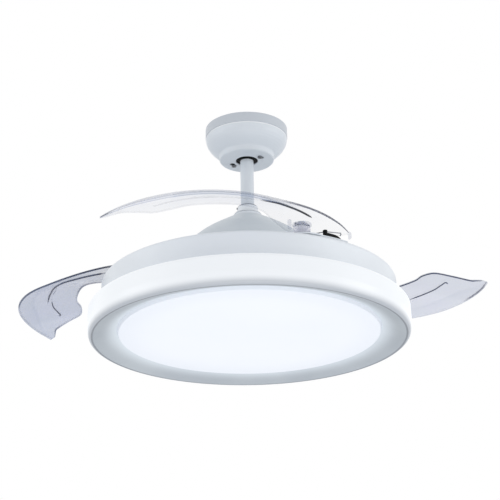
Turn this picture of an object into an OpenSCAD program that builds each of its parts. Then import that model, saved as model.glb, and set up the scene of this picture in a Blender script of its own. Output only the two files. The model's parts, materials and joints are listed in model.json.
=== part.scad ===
// Retractable blade ceiling fan with a round light under the motor.
// Millimetres. The origin is the centre of the ceiling face, +Z points up, the fan hangs below it.
// Levels run from the ceiling down: canopy, downrod, coupling cover, dome, blade carrier, lamp.

/* [Ceiling end] */
// Outer radius of the canopy rim
canopy_r = 68.2; // [64:0.1:76]
// Height of the canopy from the ceiling to its flat floor
canopy_h = 56.5; // [52:0.5:66]
// Height of the straight rim band
rim_h = 16.5; // [10:0.5:20]
// Radius of the flat floor of the canopy
floor_r = 45; // [43:0.5:50]
// Radius of the hole that the downrod passes through
rod_hole_r = 18.4; // [16:0.1:20]
// Sheet thickness of the canopy
canopy_wall = 1.8; // [1.2:0.1:2.5]
// Length of the ceiling bracket's top plate
bracket_len = 112; // [104:1:118]
// Width of the ceiling bracket's top plate
bracket_w = 58; // [50:1:64]
// Sheet thickness of the ceiling bracket
bracket_t = 2.5; // [2:0.1:3.5]
// Distance between the two screw slots in the ceiling bracket
slot_pitch = 88; // [80:1:92]
// End to end length of a screw slot
slot_len = 14; // [10:0.5:16]
// Width of a screw slot
slot_w = 5.5; // [4.5:0.1:6.5]
// Radius of the hanger ball
ball_r = 24; // [22:0.5:26]
// Distance of the canopy screws from the axis
canopy_screw_r = 27; // [25:0.5:30]

/* [Downrod] */
// Outer radius of the downrod
rod_r = 11; // [10:0.1:13]
// Wall thickness of the downrod
rod_wall = 2; // [1.5:0.1:3]
// Length of downrod that shows between canopy and coupling cover
rod_show = 83.5; // [60:0.5:400]
// Height of the coupling cover
cover_h = 15; // [13:0.5:20]
// Radius of the coupling cover at its top
cover_top_r = 16.4; // [16:0.1:20]
// Radius of the coupling cover at its foot
cover_foot_r = 23; // [21:0.5:28]

/* [Motor] */
// Height of the dome over the motor
dome_h = 119.6; // [116:0.1:135]
// Outer radius of the dome at its foot
dome_r = 112; // [104:0.5:113]
// Wall thickness of the dome
dome_wall = 1.5; // [1.2:0.1:3]
// Radius of the fixed hollow motor shaft
shaft_r = 8.5; // [7.5:0.1:9.5]
// Room between the side of the dome and the rotor cup
motor_room = 24; // [22:0.5:30]
// Height of the rotor cup above the end shield
cup_h = 56; // [52:0.5:58]
// Height of the stator's stack of laminations
core_h = 18; // [14:1:30]
// Width of the two motor bearings
bearing_w = 9; // [7:0.5:11]
// Outer radius of the two motor bearings
bearing_r = 15; // [14:0.5:16]
// Thickness of the blade carrier plate
carrier_t = 2; // [1.6:0.1:3]

/* [Blades] */
// Distance of the blade pivots from the axis
pivot_r = 192.5; // [188:0.5:196]
// Direction of the front blade's pivot, seen from above
front_dir = -65.3; // [-180:0.1:180]
// Distance from a blade's pivot back to its tip
blade_len = 307; // [290:1:312]
// Height of the blade roots above the carrier
blade_rise = 23.6; // [22:0.1:30]
// Thickness of a blade
blade_t = 3; // [2.4:0.1:4]
// How far the front blade has swung out from its closed place, in degrees
front_open = 44; // [0:0.1:130]
// How far the right blade has swung out
right_open = 60.8; // [0:0.1:130]
// How far the left blade has swung out
left_open = 88.9; // [0:0.1:130]
// Full swing of a blade between its two stop posts
full_swing = 130; // [120:1:135]
// Radius of the pivot posts
post_r = 4.5; // [4:0.1:5]
// Distance of the stop posts from the pivot
stop_r = 37; // [34:0.5:40]

/* [Lamp] */
// Greatest radius of the light ring
ring_r = 255.5; // [250:0.5:262]
// How far the side of the upper housing lies in from the ring's greatest radius
drum_in = 20.5; // [17:0.5:24]
// How far the inner edge of the lower lip lies in from the ring's greatest radius
lip_in = 8; // [7.2:0.1:10]
// Width of the silver cone between the lip and the round diffuser
cone_w = 40.5; // [32:0.5:66]
// Height of the upper housing's side
drum_h = 43; // [38:0.5:60]
// Height of the light ring
ring_h = 47.4; // [42:0.2:60]
// How far the round diffuser lies above the lower lip
recess = 7.6; // [5:0.2:12]
// How far the round diffuser stands out of the silver cone's inner edge
disc_out = 7; // [4:0.2:9]
// Sheet thickness of the upper housing
drum_wall = 1.2; // [1:0.1:3]
// Wall thickness of the light ring
ring_wall = 2.2; // [1.6:0.1:3]

/* [Clearances] */
// Gap between seated or facing pieces on different bodies
seat_gap = 0.3; // [0.2:0.05:0.5]
// Radial clearance of a running fit
run_fit = 0.05; // [0.02:0.01:0.09]
// Gap between the coupling cover and the turning dome
dome_gap = 1; // [0.6:0.1:3]
// Gap between the turning carrier and the top of the lamp
carrier_gap = 1; // [0.6:0.1:3]

/* [Hidden] */
$fn = 96;

// Paint and material colours
white_paint = [0.88, 0.90, 0.92];
dome_paint = [0.80, 0.83, 0.86];
steel = [0.72, 0.74, 0.76];
dark_steel = [0.35, 0.36, 0.38];
black_rubber = [0.06, 0.06, 0.07];
copper = [0.72, 0.42, 0.22];
board_green = [0.92, 0.94, 0.93];
grey_plastic = [0.45, 0.47, 0.50];
lit_white = [0.97, 0.99, 1];
cone_silver = [0.72, 0.76, 0.80];
clear_blade = [0.76, 0.80, 0.88, 0.55];

// Levels, from the ceiling down
cover_z = -canopy_h - rod_show;
dome_z = cover_z - cover_h - dome_gap;
carrier_z = dome_z - dome_h;
drum_z = carrier_z - carrier_t - carrier_gap;
ring_z = drum_z - drum_h;
lip_z = ring_z - ring_h;
blade_z = carrier_z + blade_rise;

// Small screws
screw_r = 2;

// Hanger ball seat
seat_hole_r = ball_r - 4;
seat_z = -canopy_h + canopy_wall + seat_gap + bracket_t;
ball_z = seat_z + sqrt(pow(ball_r + seat_gap, 2) - pow(seat_hole_r, 2));
ball_up = 14;
ball_down = 19;
leg_x = ball_r + 6;
leg_w = 36;

// Coupling
yoke_r = 14;
yoke_top = cover_z - 5;
rod_foot = yoke_top - 32;
yoke_foot = rod_foot - 14;
yoke_pin_z = yoke_top - 16;
pin_r = 3;

// Motor
shield_t = 4;
flange_out = 6;
cup_wall = 4;
hub_wall = 4;
cup_foot = carrier_z + shield_t;
cup_top = cup_foot + cup_h;
lower_bearing_z = carrier_z + shield_t;
upper_bearing_z = cup_top - bearing_w + 1;
air_gap = 1;
magnet_t = 5;
magnets = 14;
hole_ring_dir = 30;
cup_r = dome_r - motor_room;
screw_ring_r = cup_r + flange_out / 2;
core_r = cup_r - cup_wall - magnet_t - air_gap;
core_z = (cup_foot + cup_top - core_h) / 2;
shaft_bore_r = shaft_r - 3.5;

// Lamp
drum_r = ring_r - drum_in;
lip_r = ring_r - lip_in;
disc_r = lip_r - cone_w;
flange_t = 4.4;
flange_r = 34;
nut_r = 14;
nut_h = 8;
shaft_foot = drum_z - drum_wall - flange_t - nut_h - 4;
plate_z = lip_z + 40;
plate_t = 2;
plate_r = drum_r - drum_wall - 8;
spacer_ring_r = 150;
disc_t = 2.4;
disc_draw = 1.4;
cone_t = 1.5;
cone_foot_z = lip_z + recess + disc_out;
cone_foot_r = disc_r + disc_draw + seat_gap;

// Blade pivots
bush_r = 6.5;
boss_r = 13;
boss_down = 5;
boss_up = 3;
clamp_t = 2;
clamp_r = 15;
clamp_screw_r = 1.2;
clamp_screw_y = 10;
cap_h = 3;
cap_lip = 3;
collar_r = 9.5;
collar_h = 7.8;
stop_post_r = 3.5;
stop_post_h = 12.5;
lug_r = 3;
lug_drop = 15;
post_dir = 40.6;
front_swing = 44;
stop_angle = asin((stop_post_r + lug_r + seat_gap) / 2 / stop_r) * 2;
lug_dir = post_dir - stop_angle - (full_swing - front_swing);
shut_dir = lug_dir - front_swing - stop_angle;
bumper_r = norm([pivot_r + stop_r * cos(post_dir), stop_r * sin(post_dir)]);
bumper_dir = asin(stop_r * sin(post_dir) / bumper_r);
bumper_w = 5;
bumper_h = 8.5;
bumper_span = 6.2;

// Return spring round each pivot post
wire_r = 0.8;
coil_r = 7.4;
coil_turns = 3;
coil_pitch = 2.2;
coil_rings = 8;
coil_z = carrier_z + collar_h + seat_gap + wire_r;

// Chord ends of the blade, outer edge then inner edge, from the heel to the tip.
// They are seen from above with the pivot at 0, 0 and the fan's axis in the -X direction.
sections = [
    [[11, 74], [4, 75]], [[36, 45], [-14, 57]], [[60, 6], [-26, 25]], [[82, -34], [-23, -10]],
    [[98, -74], [-4, -44]], [[105, -112], [18, -74]], [[105, -146], [22, -104]],
    [[98, -178], [6, -146]], [[86, -206], [-13, -178]], [[68, -232], [-33, -196]],
    [[46, -255], [-47, -219]], [[20, -275], [-40, -246]], [[-6, -290], [-33, -273]],
    [[-27, -300], [-38, -289]], [[-45, -307], [-47, -301]]];
blade_scale = -blade_len / sections[len(sections) - 1][0][1];
blade_steps = 30;
chord_steps = 4;
twist_from = 20;
twist_over = 120;
lean_across = 0.158;
lean_along = 0.235;
bow_across = 0.267;
bow_twist = 0.044;
bow_along = 0.3;
bow_over = 300;

// Height of the blade's middle surface over its root, at a point of the plan
function ramp(v) = let (s = max(0, min(1, (twist_from - v) / twist_over))) s * s * (3 - 2 * s);
function lift_of(u, v) = ramp(v) * (-lean_across * u - lean_along * v
    - (bow_across * u * u + bow_twist * u * v + bow_along * v * v) / bow_over);
function lift(p) = blade_scale * lift_of(p[0] / blade_scale, p[1] / blade_scale);

// Smooth curve through points a, b, c, d, between b and c
function smooth(a, b, c, d, t) = (2 * b + (c - a) * t + (2 * a - 5 * b + 4 * c - d) * t * t
    + (3 * b - a - 3 * c + d) * t * t * t) / 2;
function section_at(i, side) = blade_scale * sections[max(0, min(len(sections) - 1, i))][side];
function edge_at(s, side) = let (i = min(floor(s), len(sections) - 2), t = s - i)
    smooth(section_at(i - 1, side), section_at(i, side), section_at(i + 1, side),
        section_at(i + 2, side), t);

// Directions of the three pivots, and how far each blade has turned from the drawn pose
function pivot_dir(i) = front_dir + 120 * i;
module at_pivot(i) {
    rotate([0, 0, pivot_dir(i)]) translate([pivot_r, 0, 0]) children();
}
module on_blade(i, open) {
    at_pivot(i) rotate([0, 0, open - front_swing]) children();
}
module all_pivots() {
    for (i = [0 : 2]) at_pivot(i) children();
}
module ring(n, r) {
    for (i = [0 : n - 1]) rotate([0, 0, i * 360 / n]) translate([r, 0, 0]) children();
}
module tube(r, inner, h) {
    difference() {
        cylinder(r = r, h = h);
        translate([0, 0, -1]) cylinder(r = inner, h = h + 2);
    }
}

// ---- ceiling end ----

module slot_cut() {
    for (s = [-1, 1]) translate([s * slot_pitch / 2, 0, -bracket_t - 1]) {
        for (e = [-1, 1]) translate([e * (slot_len - slot_w) / 2, 0, 0])
            cylinder(d = slot_w, h = bracket_t + 2);
        translate([-(slot_len - slot_w) / 2, -slot_w / 2, 0])
            cube([slot_len - slot_w, slot_w, bracket_t + 2]);
    }
}

canopy_screw_dir = 143;

module ceiling_bracket() {
    color(steel) {
        difference() {
            translate([-bracket_len / 2, -bracket_w / 2, -bracket_t])
                cube([bracket_len, bracket_w, bracket_t]);
            slot_cut();
            translate([0, -bracket_w / 4, -bracket_t - 1]) cylinder(r = 6, h = bracket_t + 2);
        }
        for (s = [-1, 1]) translate([s * leg_x - bracket_t / 2, -leg_w / 2, seat_z])
            cube([bracket_t, leg_w, -seat_z - bracket_t / 2]);
        difference() {
            translate([0, 0, seat_z - bracket_t]) cylinder(r = leg_x + 8, h = bracket_t);
            translate([0, 0, seat_z - bracket_t - 1]) cylinder(r = seat_hole_r, h = bracket_t + 2);
            translate([-rod_r - 1.5, -leg_x - 10, seat_z - bracket_t - 1])
                cube([2 * rod_r + 3, leg_x + 10, bracket_t + 2]);
            for (a = [0, 180]) rotate([0, 0, canopy_screw_dir + a])
                translate([canopy_screw_r, 0, seat_z - bracket_t - 1])
                    cylinder(r = screw_r, h = bracket_t + 2);
        }
    }
}

// Bowl of the canopy: a parabola from the rim's groove in to the neck
neck_h = 10;
neck_out = 2;
groove = 1.2;
key_turn = 10;
key_r = 4.4;
key_slot = screw_r + 0.5;
function bowl(r_off, z_off) = [for (t = [0 : 10 : 90])
    [floor_r + neck_out + (canopy_r - floor_r - neck_out - groove / 2) * pow(cos(t), 2) - r_off,
        -rim_h - 1 - (canopy_h - rim_h - neck_h - 1) * sin(t) + z_off]];

module canopy() {
    w = canopy_wall;
    outer = concat([[canopy_r, 0], [canopy_r, -rim_h + 1], [canopy_r - groove, -rim_h]],
        bowl(0, 0), [[floor_r + 0.8, -canopy_h + neck_h - 1.5], [floor_r, -canopy_h + 1.5],
        [floor_r - 1.5, -canopy_h], [rod_hole_r, -canopy_h]]);
    inner = concat([[rod_hole_r, -canopy_h + w], [floor_r - w, -canopy_h + w],
        [floor_r - w, -canopy_h + neck_h + w]],
        [for (i = [9 : -1 : 0]) bowl(w, w)[i]], [[canopy_r - groove - w, 0]]);
    color(white_paint) difference() {
        rotate_extrude($fn = 128) polygon(concat(outer, inner));
        for (a = [0, 180]) rotate([0, 0, canopy_screw_dir + a]) translate([0, 0, -canopy_h - 1]) {
            rotate([0, 0, key_turn]) translate([canopy_screw_r, 0, 0])
                cylinder(r = key_r, h = w + 2);
            translate([canopy_screw_r, 0, 0]) cylinder(r = key_slot, h = w + 2);
            rotate_extrude(angle = key_turn) translate([canopy_screw_r - key_slot, 0])
                square([2 * key_slot, w + 2]);
        }
    }
}

module canopy_screws() {
    color(steel) for (a = [0, 180]) rotate([0, 0, canopy_screw_dir + a])
        translate([canopy_screw_r, 0, 0]) difference() {
            union() {
                translate([0, 0, -canopy_h - 0.5]) cylinder(r = screw_r, h = seat_z + canopy_h + 1.5);
                translate([0, 0, -canopy_h - 2.2]) cylinder(r = 3.9, h = 2.2);
            }
            for (t = [0, 90]) rotate([0, 0, t]) translate([-2.4, -0.5, -canopy_h - 3])
                cube([4.8, 1, 1.8]);
        }
}

box_x = 56;
box_y = 23;
box_h = 22;
module receiver_box() {
    color(grey_plastic) translate([-box_x / 2, bracket_w / 2 - box_y / 3, -bracket_t - box_h])
        cube([box_x, box_y, box_h]);
}

block_x = 28;
block_w = 14;
way_pitch = 6;
way_r = 1.8;

module terminal_block() {
    mid_y = -bracket_w / 2 - 1;
    color(white_paint) difference() {
        translate([-block_x / 2, mid_y - block_w / 2, -bracket_t - block_w])
            cube([block_x, block_w, block_w]);
        for (i = [-1.5 : 1 : 1.5]) translate([i * way_pitch, mid_y, -bracket_t - block_w - 1])
            cylinder(r = way_r, h = block_w / 2 - 1);
    }
}

// ---- hanging frame ----

module hanger_ball() {
    color(dark_steel) difference() {
        intersection() {
            translate([0, 0, ball_z]) sphere(r = ball_r);
            translate([0, 0, ball_z - ball_down]) cylinder(r = ball_r + 1, h = ball_down + ball_up);
        }
        translate([0, 0, ball_z - ball_r]) cylinder(r = rod_r, h = 2 * ball_r);
        translate([-ball_r, 0, ball_z]) rotate([0, 90, 0]) cylinder(r = pin_r, h = 2 * ball_r);
    }
}

module hanger_pin() {
    color(steel) translate([-ball_r + 2.5, 0, ball_z]) rotate([0, 90, 0])
        cylinder(r = pin_r, h = 2 * ball_r - 5);
}

module downrod() {
    top = ball_z + ball_up;
    color(white_paint) difference() {
        translate([0, 0, rod_foot]) tube(rod_r, rod_r - rod_wall, top - rod_foot);
        for (z = [ball_z, yoke_pin_z]) translate([-rod_r - 1, 0, z]) rotate([0, 90, 0])
            cylinder(r = pin_r, h = 2 * rod_r + 2);
    }
}

// The lead runs beside the two cross pins and then down the middle of the hollow shaft
lead_r = 2;
lead_y = pin_r + lead_r + 0.5;
lead_top = ball_z + ball_up + 5;
lead_bend_z = yoke_pin_z - pin_r - 3;
lead_mid_z = rod_foot + 1;
driver_h = 20;
module lead_grommet() {
    color(black_rubber) translate([0, 0, ball_z + ball_up]) difference() {
        union() {
            translate([0, 0, -5]) cylinder(r = rod_r - rod_wall, h = 5);
            cylinder(r = rod_r - 0.5, h = 1.5);
        }
        translate([0, lead_y, -6]) cylinder(r = lead_r, h = 9);
    }
}

module supply_lead() {
    foot = plate_z + plate_t + driver_h;
    drop = lead_bend_z - lead_mid_z;
    lean = atan2(lead_y, drop);
    color(black_rubber) {
        translate([0, lead_y, lead_bend_z]) cylinder(r = lead_r, h = lead_top - lead_bend_z);
        translate([0, lead_y, lead_bend_z]) sphere(r = lead_r);
        translate([0, 0, lead_mid_z]) rotate([-lean, 0, 0])
            cylinder(r = lead_r, h = norm([lead_y, drop]));
        translate([0, 0, lead_mid_z]) sphere(r = lead_r);
        translate([0, 0, foot]) cylinder(r = lead_r, h = lead_mid_z - foot);
    }
}

module rod_yoke() {
    color(dark_steel) difference() {
        translate([0, 0, yoke_foot]) cylinder(r = yoke_r, h = yoke_top - yoke_foot);
        translate([0, 0, rod_foot]) cylinder(r = rod_r, h = yoke_top - rod_foot + 1);
        translate([0, 0, yoke_foot - 1]) cylinder(r = shaft_r, h = rod_foot - yoke_foot + 2);
        translate([-yoke_r - 1, 0, yoke_pin_z]) rotate([0, 90, 0])
            cylinder(r = pin_r, h = 2 * yoke_r + 2);
    }
}

module yoke_pin() {
    color(steel) translate([-yoke_r, 0, yoke_pin_z]) rotate([0, 90, 0])
        cylinder(r = pin_r, h = 2 * yoke_r);
}

// Flared cover: straight at the top, sweeping out to its foot
cover_wall = 1.5;
lid_gap = 1.2;
cover_screw_z = cover_z - 2.6;
cover_screw_r = 1;
module coupling_cover() {
    function flare(off) = [for (i = [0 : 6]) let (t = i / 6)
        [cover_top_r + (cover_foot_r - cover_top_r) * pow(t, 2.2) - off, cover_z - 1.2
            - (cover_h - 1.2) * t]];
    color(white_paint) difference() {
        rotate_extrude() polygon(concat([[rod_r + lid_gap, cover_z], [cover_top_r - 1.2, cover_z]],
            flare(0), [for (i = [6 : -1 : 1]) flare(cover_wall)[i]],
            [[cover_top_r - cover_wall, cover_z - 1.5], [rod_r + lid_gap, cover_z - 1.5]]));
        translate([-cover_top_r - 2, 0, cover_screw_z]) rotate([0, 90, 0])
            cylinder(r = cover_screw_r, h = 6);
    }
}

module cover_screw() {
    color(black_rubber) translate([0, 0, cover_screw_z]) rotate([0, -90, 0]) {
        translate([0, 0, rod_r])
            cylinder(r = cover_screw_r - run_fit, h = cover_top_r + seat_gap - rod_r);
        translate([0, 0, cover_top_r + seat_gap]) cylinder(r = 1.7, h = 1.2);
    }
}

module motor_shaft() {
    color(steel) translate([0, 0, shaft_foot]) tube(shaft_r, shaft_bore_r, rod_foot - shaft_foot);
}

module bearing(z) {
    color(steel) translate([0, 0, z]) difference() {
        tube(bearing_r, shaft_r, bearing_w);
        for (e = [-1, bearing_w - 1]) translate([0, 0, e])
            tube(bearing_r - 2, shaft_r + 2, 2);
    }
}

slots = 12;
module stator_core() {
    color(dark_steel) translate([0, 0, core_z]) difference() {
        cylinder(r = core_r, h = core_h);
        translate([0, 0, -1]) {
            cylinder(r = shaft_r, h = core_h + 2);
            ring(slots, core_r * 0.72) cylinder(r = core_r * 0.12, h = core_h + 2);
            ring(slots, core_r * 0.74) translate([0, -1.5, 0])
                cube([core_r * 0.3, 3, core_h + 2]);
        }
    }
}

winding_h = 5;
module stator_windings() {
    color(copper) for (z = [core_z - winding_h, core_z + core_h]) translate([0, 0, z])
        tube(core_r * 0.88, core_r * 0.56, winding_h);
}

// ---- lamp ----

flange_screw_r = 25;
module lamp_flange() {
    color(steel) translate([0, 0, drum_z - drum_wall - flange_t]) difference() {
        tube(flange_r, shaft_r, flange_t);
        ring(4, flange_screw_r) translate([0, 0, -1]) cylinder(r = screw_r, h = flange_t + 2);
    }
}

module flange_screws() {
    color(steel) ring(4, flange_screw_r) {
        translate([0, 0, drum_z - drum_wall - flange_t + 0.5])
            cylinder(r = screw_r, h = drum_wall + flange_t);
        translate([0, 0, drum_z]) cylinder(r = 3.6, h = 1.8);
    }
}

module shaft_nut() {
    z = drum_z - drum_wall - flange_t - nut_h;
    color(steel) difference() {
        translate([0, 0, z]) cylinder(r = nut_r, h = nut_h, $fn = 6);
        translate([0, 0, z - 1]) cylinder(r = shaft_r, h = nut_h + 2);
    }
}

// Upper housing: a shallow pan with a rounded shoulder and an inward foot that carries the ring
shoulder = 5;
module lamp_housing() {
    function arc(r) = [for (t = [0 : 15 : 90])
        [drum_r - shoulder + r * cos(t), drum_z - shoulder + r * sin(t)]];
    function arc_in(r) = [for (t = [90 : -15 : 0])
        [drum_r - shoulder + r * cos(t), drum_z - shoulder + r * sin(t)]];
    color(white_paint) difference() {
        rotate_extrude($fn = 180) polygon(concat([[shaft_r + 3.5, drum_z - drum_wall]],
            [[shaft_r + 3.5, drum_z]], arc_in(shoulder), [[drum_r, ring_z - 6]],
            [[drum_r - drum_wall, ring_z - 6]], arc(shoulder - drum_wall)));
        ring(4, flange_screw_r) translate([0, 0, drum_z - drum_wall - 1])
            cylinder(r = screw_r, h = drum_wall + 2);
    }
}

module plate_spacers() {
    color(steel) ring(6, spacer_ring_r) translate([0, 0, plate_z + plate_t])
        cylinder(r = 4, h = drum_z - drum_wall - plate_z - plate_t);
}

module led_plate() {
    color(white_paint) translate([0, 0, plate_z]) tube(plate_r, shaft_bore_r, plate_t);
}

// Three flat rings of circuit board, each with a row of square light packages
board_t = 1.6;
board_w = 18;
board_rings = 3;
board_first_r = 50;
board_step = 60;
led_w = 4;
led_t = 1.2;
led_pitch = 31.4;
module led_boards() {
    radii = [for (i = [0 : board_rings - 1]) board_first_r + board_step * i];
    color(board_green) translate([0, 0, plate_z - board_t])
        for (r = radii) tube(r + board_w / 2, r - board_w / 2, board_t);
    color(lit_white) translate([0, 0, plate_z - board_t - led_t])
        for (r = radii) ring(round(2 * PI * r / led_pitch), r)
            translate([-led_w / 2, -led_w / 2, 0]) cube([led_w, led_w, led_t]);
}

driver_len = 90;
driver_w = 44;
module led_driver() {
    color(grey_plastic) translate([-driver_len / 2, -driver_w / 2, plate_z + plate_t]) difference() {
        cube([driver_len, driver_w, driver_h]);
        for (x = [8, driver_len - 8]) translate([x, driver_w / 2, driver_h - 3])
            cylinder(r = 2.5, h = 4);
    }
}

// Light ring: flat shelf, rounded shoulder, bulging side and a rounded lower lip
ring_round = 7;
lip_round = 5.5;
lip_draw = 1.6;
bulge_z = lip_z + 20;
function ring_side(off) = concat(
    [for (t = [90 : -15 : 15]) [ring_r - ring_round + (ring_round - off) * cos(t),
        ring_z - ring_round + (ring_round - off) * sin(t)]],
    [[ring_r - off, bulge_z], [ring_r - lip_draw / 2 - off, (lip_z + bulge_z) / 2]],
    [for (t = [0 : 22.5 : 67.5]) [ring_r - lip_draw - lip_round + (lip_round - off) * cos(t),
        lip_z + lip_round - (lip_round - off) * sin(t)]]);
module light_ring() {
    outside = ring_side(0);
    inside = ring_side(ring_wall);
    color(lit_white) rotate_extrude($fn = 180) polygon(concat([[drum_r, ring_z]], outside,
        [[ring_r - lip_draw - lip_round, lip_z], [lip_r, lip_z], [lip_r, lip_z + ring_wall]],
        [for (i = [len(inside) - 2 : -1 : 0]) inside[i]], [[drum_r, ring_z - ring_wall]]));
}

// Silver cone: leans in from the lower lip to the edge of the round diffuser
disc_seat = 4;
disc_round = 1.5;
module trim_cone() {
    seat_r = cone_foot_r + disc_seat;
    color(cone_silver) rotate_extrude($fn = 180) polygon([[lip_r, lip_z], [lip_r, lip_z + cone_t],
        [seat_r + 1, cone_foot_z], [seat_r + 1, cone_foot_z + disc_t], [seat_r, cone_foot_z + disc_t],
        [seat_r, cone_foot_z], [cone_foot_r, cone_foot_z], [cone_foot_r, cone_foot_z - cone_t]]);
}

// Round diffuser: a shallow dish whose flange rests on the cone and whose flat face hangs below it
module round_diffuser() {
    face_z = lip_z + recess;
    draw_r = disc_r + disc_draw;
    color(lit_white) rotate_extrude($fn = 180) polygon(concat([[0, face_z]],
        [for (a = [90 : -30 : 0]) [disc_r - disc_round + disc_round * cos(a),
            face_z + disc_round - disc_round * sin(a)]],
        [[draw_r, cone_foot_z], [cone_foot_r + disc_seat, cone_foot_z],
        [cone_foot_r + disc_seat, cone_foot_z + disc_t], [draw_r - disc_t, cone_foot_z + disc_t],
        [disc_r - disc_t, face_z + disc_t], [0, face_z + disc_t]]));
}

// ---- rotor ----

module rotor_shield() {
    color(steel) difference() {
        union() {
            translate([0, 0, carrier_z]) cylinder(r = cup_r + flange_out, h = shield_t);
            translate([0, 0, carrier_z]) cylinder(r = bearing_r + hub_wall, h = shield_t + bearing_w);
        }
        translate([0, 0, carrier_z - 1]) cylinder(r = shaft_r + 3.5, h = shield_t + 2);
        translate([0, 0, lower_bearing_z - seat_gap])
            cylinder(r = bearing_r + run_fit, h = bearing_w + 2);
        ring(6, screw_ring_r) translate([0, 0, carrier_z - 1]) cylinder(r = screw_r, h = shield_t + 2);
    }
}

module rotor_cup() {
    color(steel) difference() {
        union() {
            translate([0, 0, cup_foot]) cylinder(r = cup_r, h = cup_h);
            translate([0, 0, cup_foot]) cylinder(r = cup_r + flange_out, h = 3);
            translate([0, 0, upper_bearing_z - 1])
                cylinder(r = bearing_r + hub_wall, h = cup_top + 4 - upper_bearing_z);
        }
        difference() {
            translate([0, 0, cup_foot - 1]) cylinder(r = cup_r - cup_wall, h = cup_h - cup_wall + 1);
            translate([0, 0, upper_bearing_z - 1]) cylinder(r = bearing_r + hub_wall, h = bearing_w);
        }
        translate([0, 0, upper_bearing_z - 2])
            cylinder(r = bearing_r + run_fit, h = bearing_w + 2 + seat_gap);
        translate([0, 0, upper_bearing_z - 2]) cylinder(r = shaft_r + 3.5, h = cup_h);
        ring(6, screw_ring_r) translate([0, 0, cup_foot - 1]) cylinder(r = screw_r, h = 6);
    }
}

module rotor_magnets() {
    color(dark_steel) for (i = [0 : magnets - 1]) rotate([0, 0, i * 360 / magnets])
        translate([0, 0, core_z - 1]) rotate_extrude(angle = 360 / magnets - 3)
            translate([cup_r - cup_wall - magnet_t, 0]) square([magnet_t, core_h + 2]);
}

module rotor_screws() {
    color(steel) ring(6, screw_ring_r) {
        translate([0, 0, carrier_z - carrier_t]) cylinder(r = screw_r, h = carrier_t + shield_t + 3);
        translate([0, 0, cup_foot + 3]) cylinder(r = 3, h = 2.4);
    }
}

// Blade carrier: a ring with three lobes that hold the pivots and the stops
carrier_hole_r = 60;
carrier_lip = 4;
lobe_r = stop_r + 3;
module blade_carrier() {
    color(white_paint) translate([0, 0, carrier_z - carrier_t]) difference() {
        union() {
            cylinder(r = dome_r + carrier_lip, h = carrier_t);
            all_pivots() {
                cylinder(r = lobe_r, h = carrier_t);
                translate([-pivot_r / 2, -lobe_r * 0.8, 0])
                    cube([pivot_r / 2, lobe_r * 1.6, carrier_t]);
            }
            for (i = [0 : 2]) rotate([0, 0, pivot_dir(i) - 2])
                rotate_extrude(angle = bumper_dir + bumper_span + 5)
                    translate([bumper_r - 20, 0]) square([28, carrier_t]);
        }
        translate([0, 0, -1]) {
            cylinder(r = carrier_hole_r, h = carrier_t + 2);
            ring(6, screw_ring_r) cylinder(r = screw_r, h = carrier_t + 2);
            dome_bosses() cylinder(r = screw_r, h = carrier_t + 2);
            all_pivots() cylinder(r = post_r, h = carrier_t + 2);
        }
    }
}

// Dome: a small neck under the coupling cover, a slope that steepens outwards, a rounded shoulder
dome_neck_r = cover_foot_r + 0.5;
dome_neck_h = 2.5;
dome_slope = 0.6;
dome_sag = 14;
dome_power = 5;
dome_round = 14;
dome_side_r = dome_r - dome_round * (1 - cos(45));
dome_side_z = dome_z - dome_neck_h - dome_slope * (dome_side_r - dome_neck_r) - dome_sag;
dome_round_z = dome_side_z - dome_round * sin(45);
boss_ring_r = dome_r - 8;
dome_boss_r = 7;
dome_boss_h = 9;
function dome_line(off) = concat(
    [for (i = [0 : 9]) let (t = i / 10, r = (dome_side_r - dome_neck_r) * t)
        [dome_neck_r + r - off / 2,
            dome_z - dome_neck_h - dome_slope * r - dome_sag * pow(t, dome_power) - off]],
    [for (a = [45 : -15 : 0]) [dome_r - dome_round + (dome_round - off) * cos(a),
        dome_round_z + (dome_round - off) * sin(a)]]);
module dome_bosses() {
    rotate([0, 0, hole_ring_dir]) ring(3, boss_ring_r) children();
}
module dome_cover() {
    outside = dome_line(0);
    inside = dome_line(dome_wall);
    color(dome_paint) difference() {
        union() {
            rotate_extrude($fn = 128) polygon(concat([[yoke_r + 3, dome_z], [dome_neck_r, dome_z]],
                outside, [[dome_r, carrier_z], [dome_r - dome_wall, carrier_z]],
                [for (i = [len(inside) - 1 : -1 : 1]) inside[i]],
                [[dome_neck_r - dome_wall, dome_z - dome_neck_h - dome_wall],
                [dome_neck_r - dome_wall, dome_z - dome_wall], [yoke_r + 3, dome_z - dome_wall]]));
            dome_bosses() translate([0, 0, carrier_z]) cylinder(r = dome_boss_r, h = dome_boss_h);
        }
        dome_bosses() translate([0, 0, carrier_z - 1]) cylinder(r = screw_r, h = dome_boss_h - 1);
    }
}

module dome_screws() {
    color(steel) dome_bosses() translate([0, 0, carrier_z - carrier_t])
        cylinder(r = screw_r, h = carrier_t + dome_boss_h - 3);
}

module pivot_posts() {
    top = blade_z + boss_up + clamp_t + seat_gap + cap_h;
    color(steel) all_pivots() {
        translate([0, 0, carrier_z - carrier_t]) cylinder(r = post_r, h = top - carrier_z + carrier_t);
        translate([0, 0, carrier_z]) cylinder(r = collar_r, h = collar_h);
    }
}

module pivot_caps() {
    color(steel) all_pivots() translate([0, 0, blade_z + boss_up + clamp_t + seat_gap]) difference() {
        cylinder(r = post_r + cap_lip, h = cap_h - 0.5, $fn = 6);
        translate([0, 0, -1]) cylinder(r = post_r, h = cap_h + 2);
    }
}

module stop_posts() {
    color(black_rubber) all_pivots() for (a = [post_dir, shut_dir])
        rotate([0, 0, a]) translate([stop_r, 0, carrier_z]) cylinder(r = stop_post_r, h = stop_post_h);
}

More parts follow.
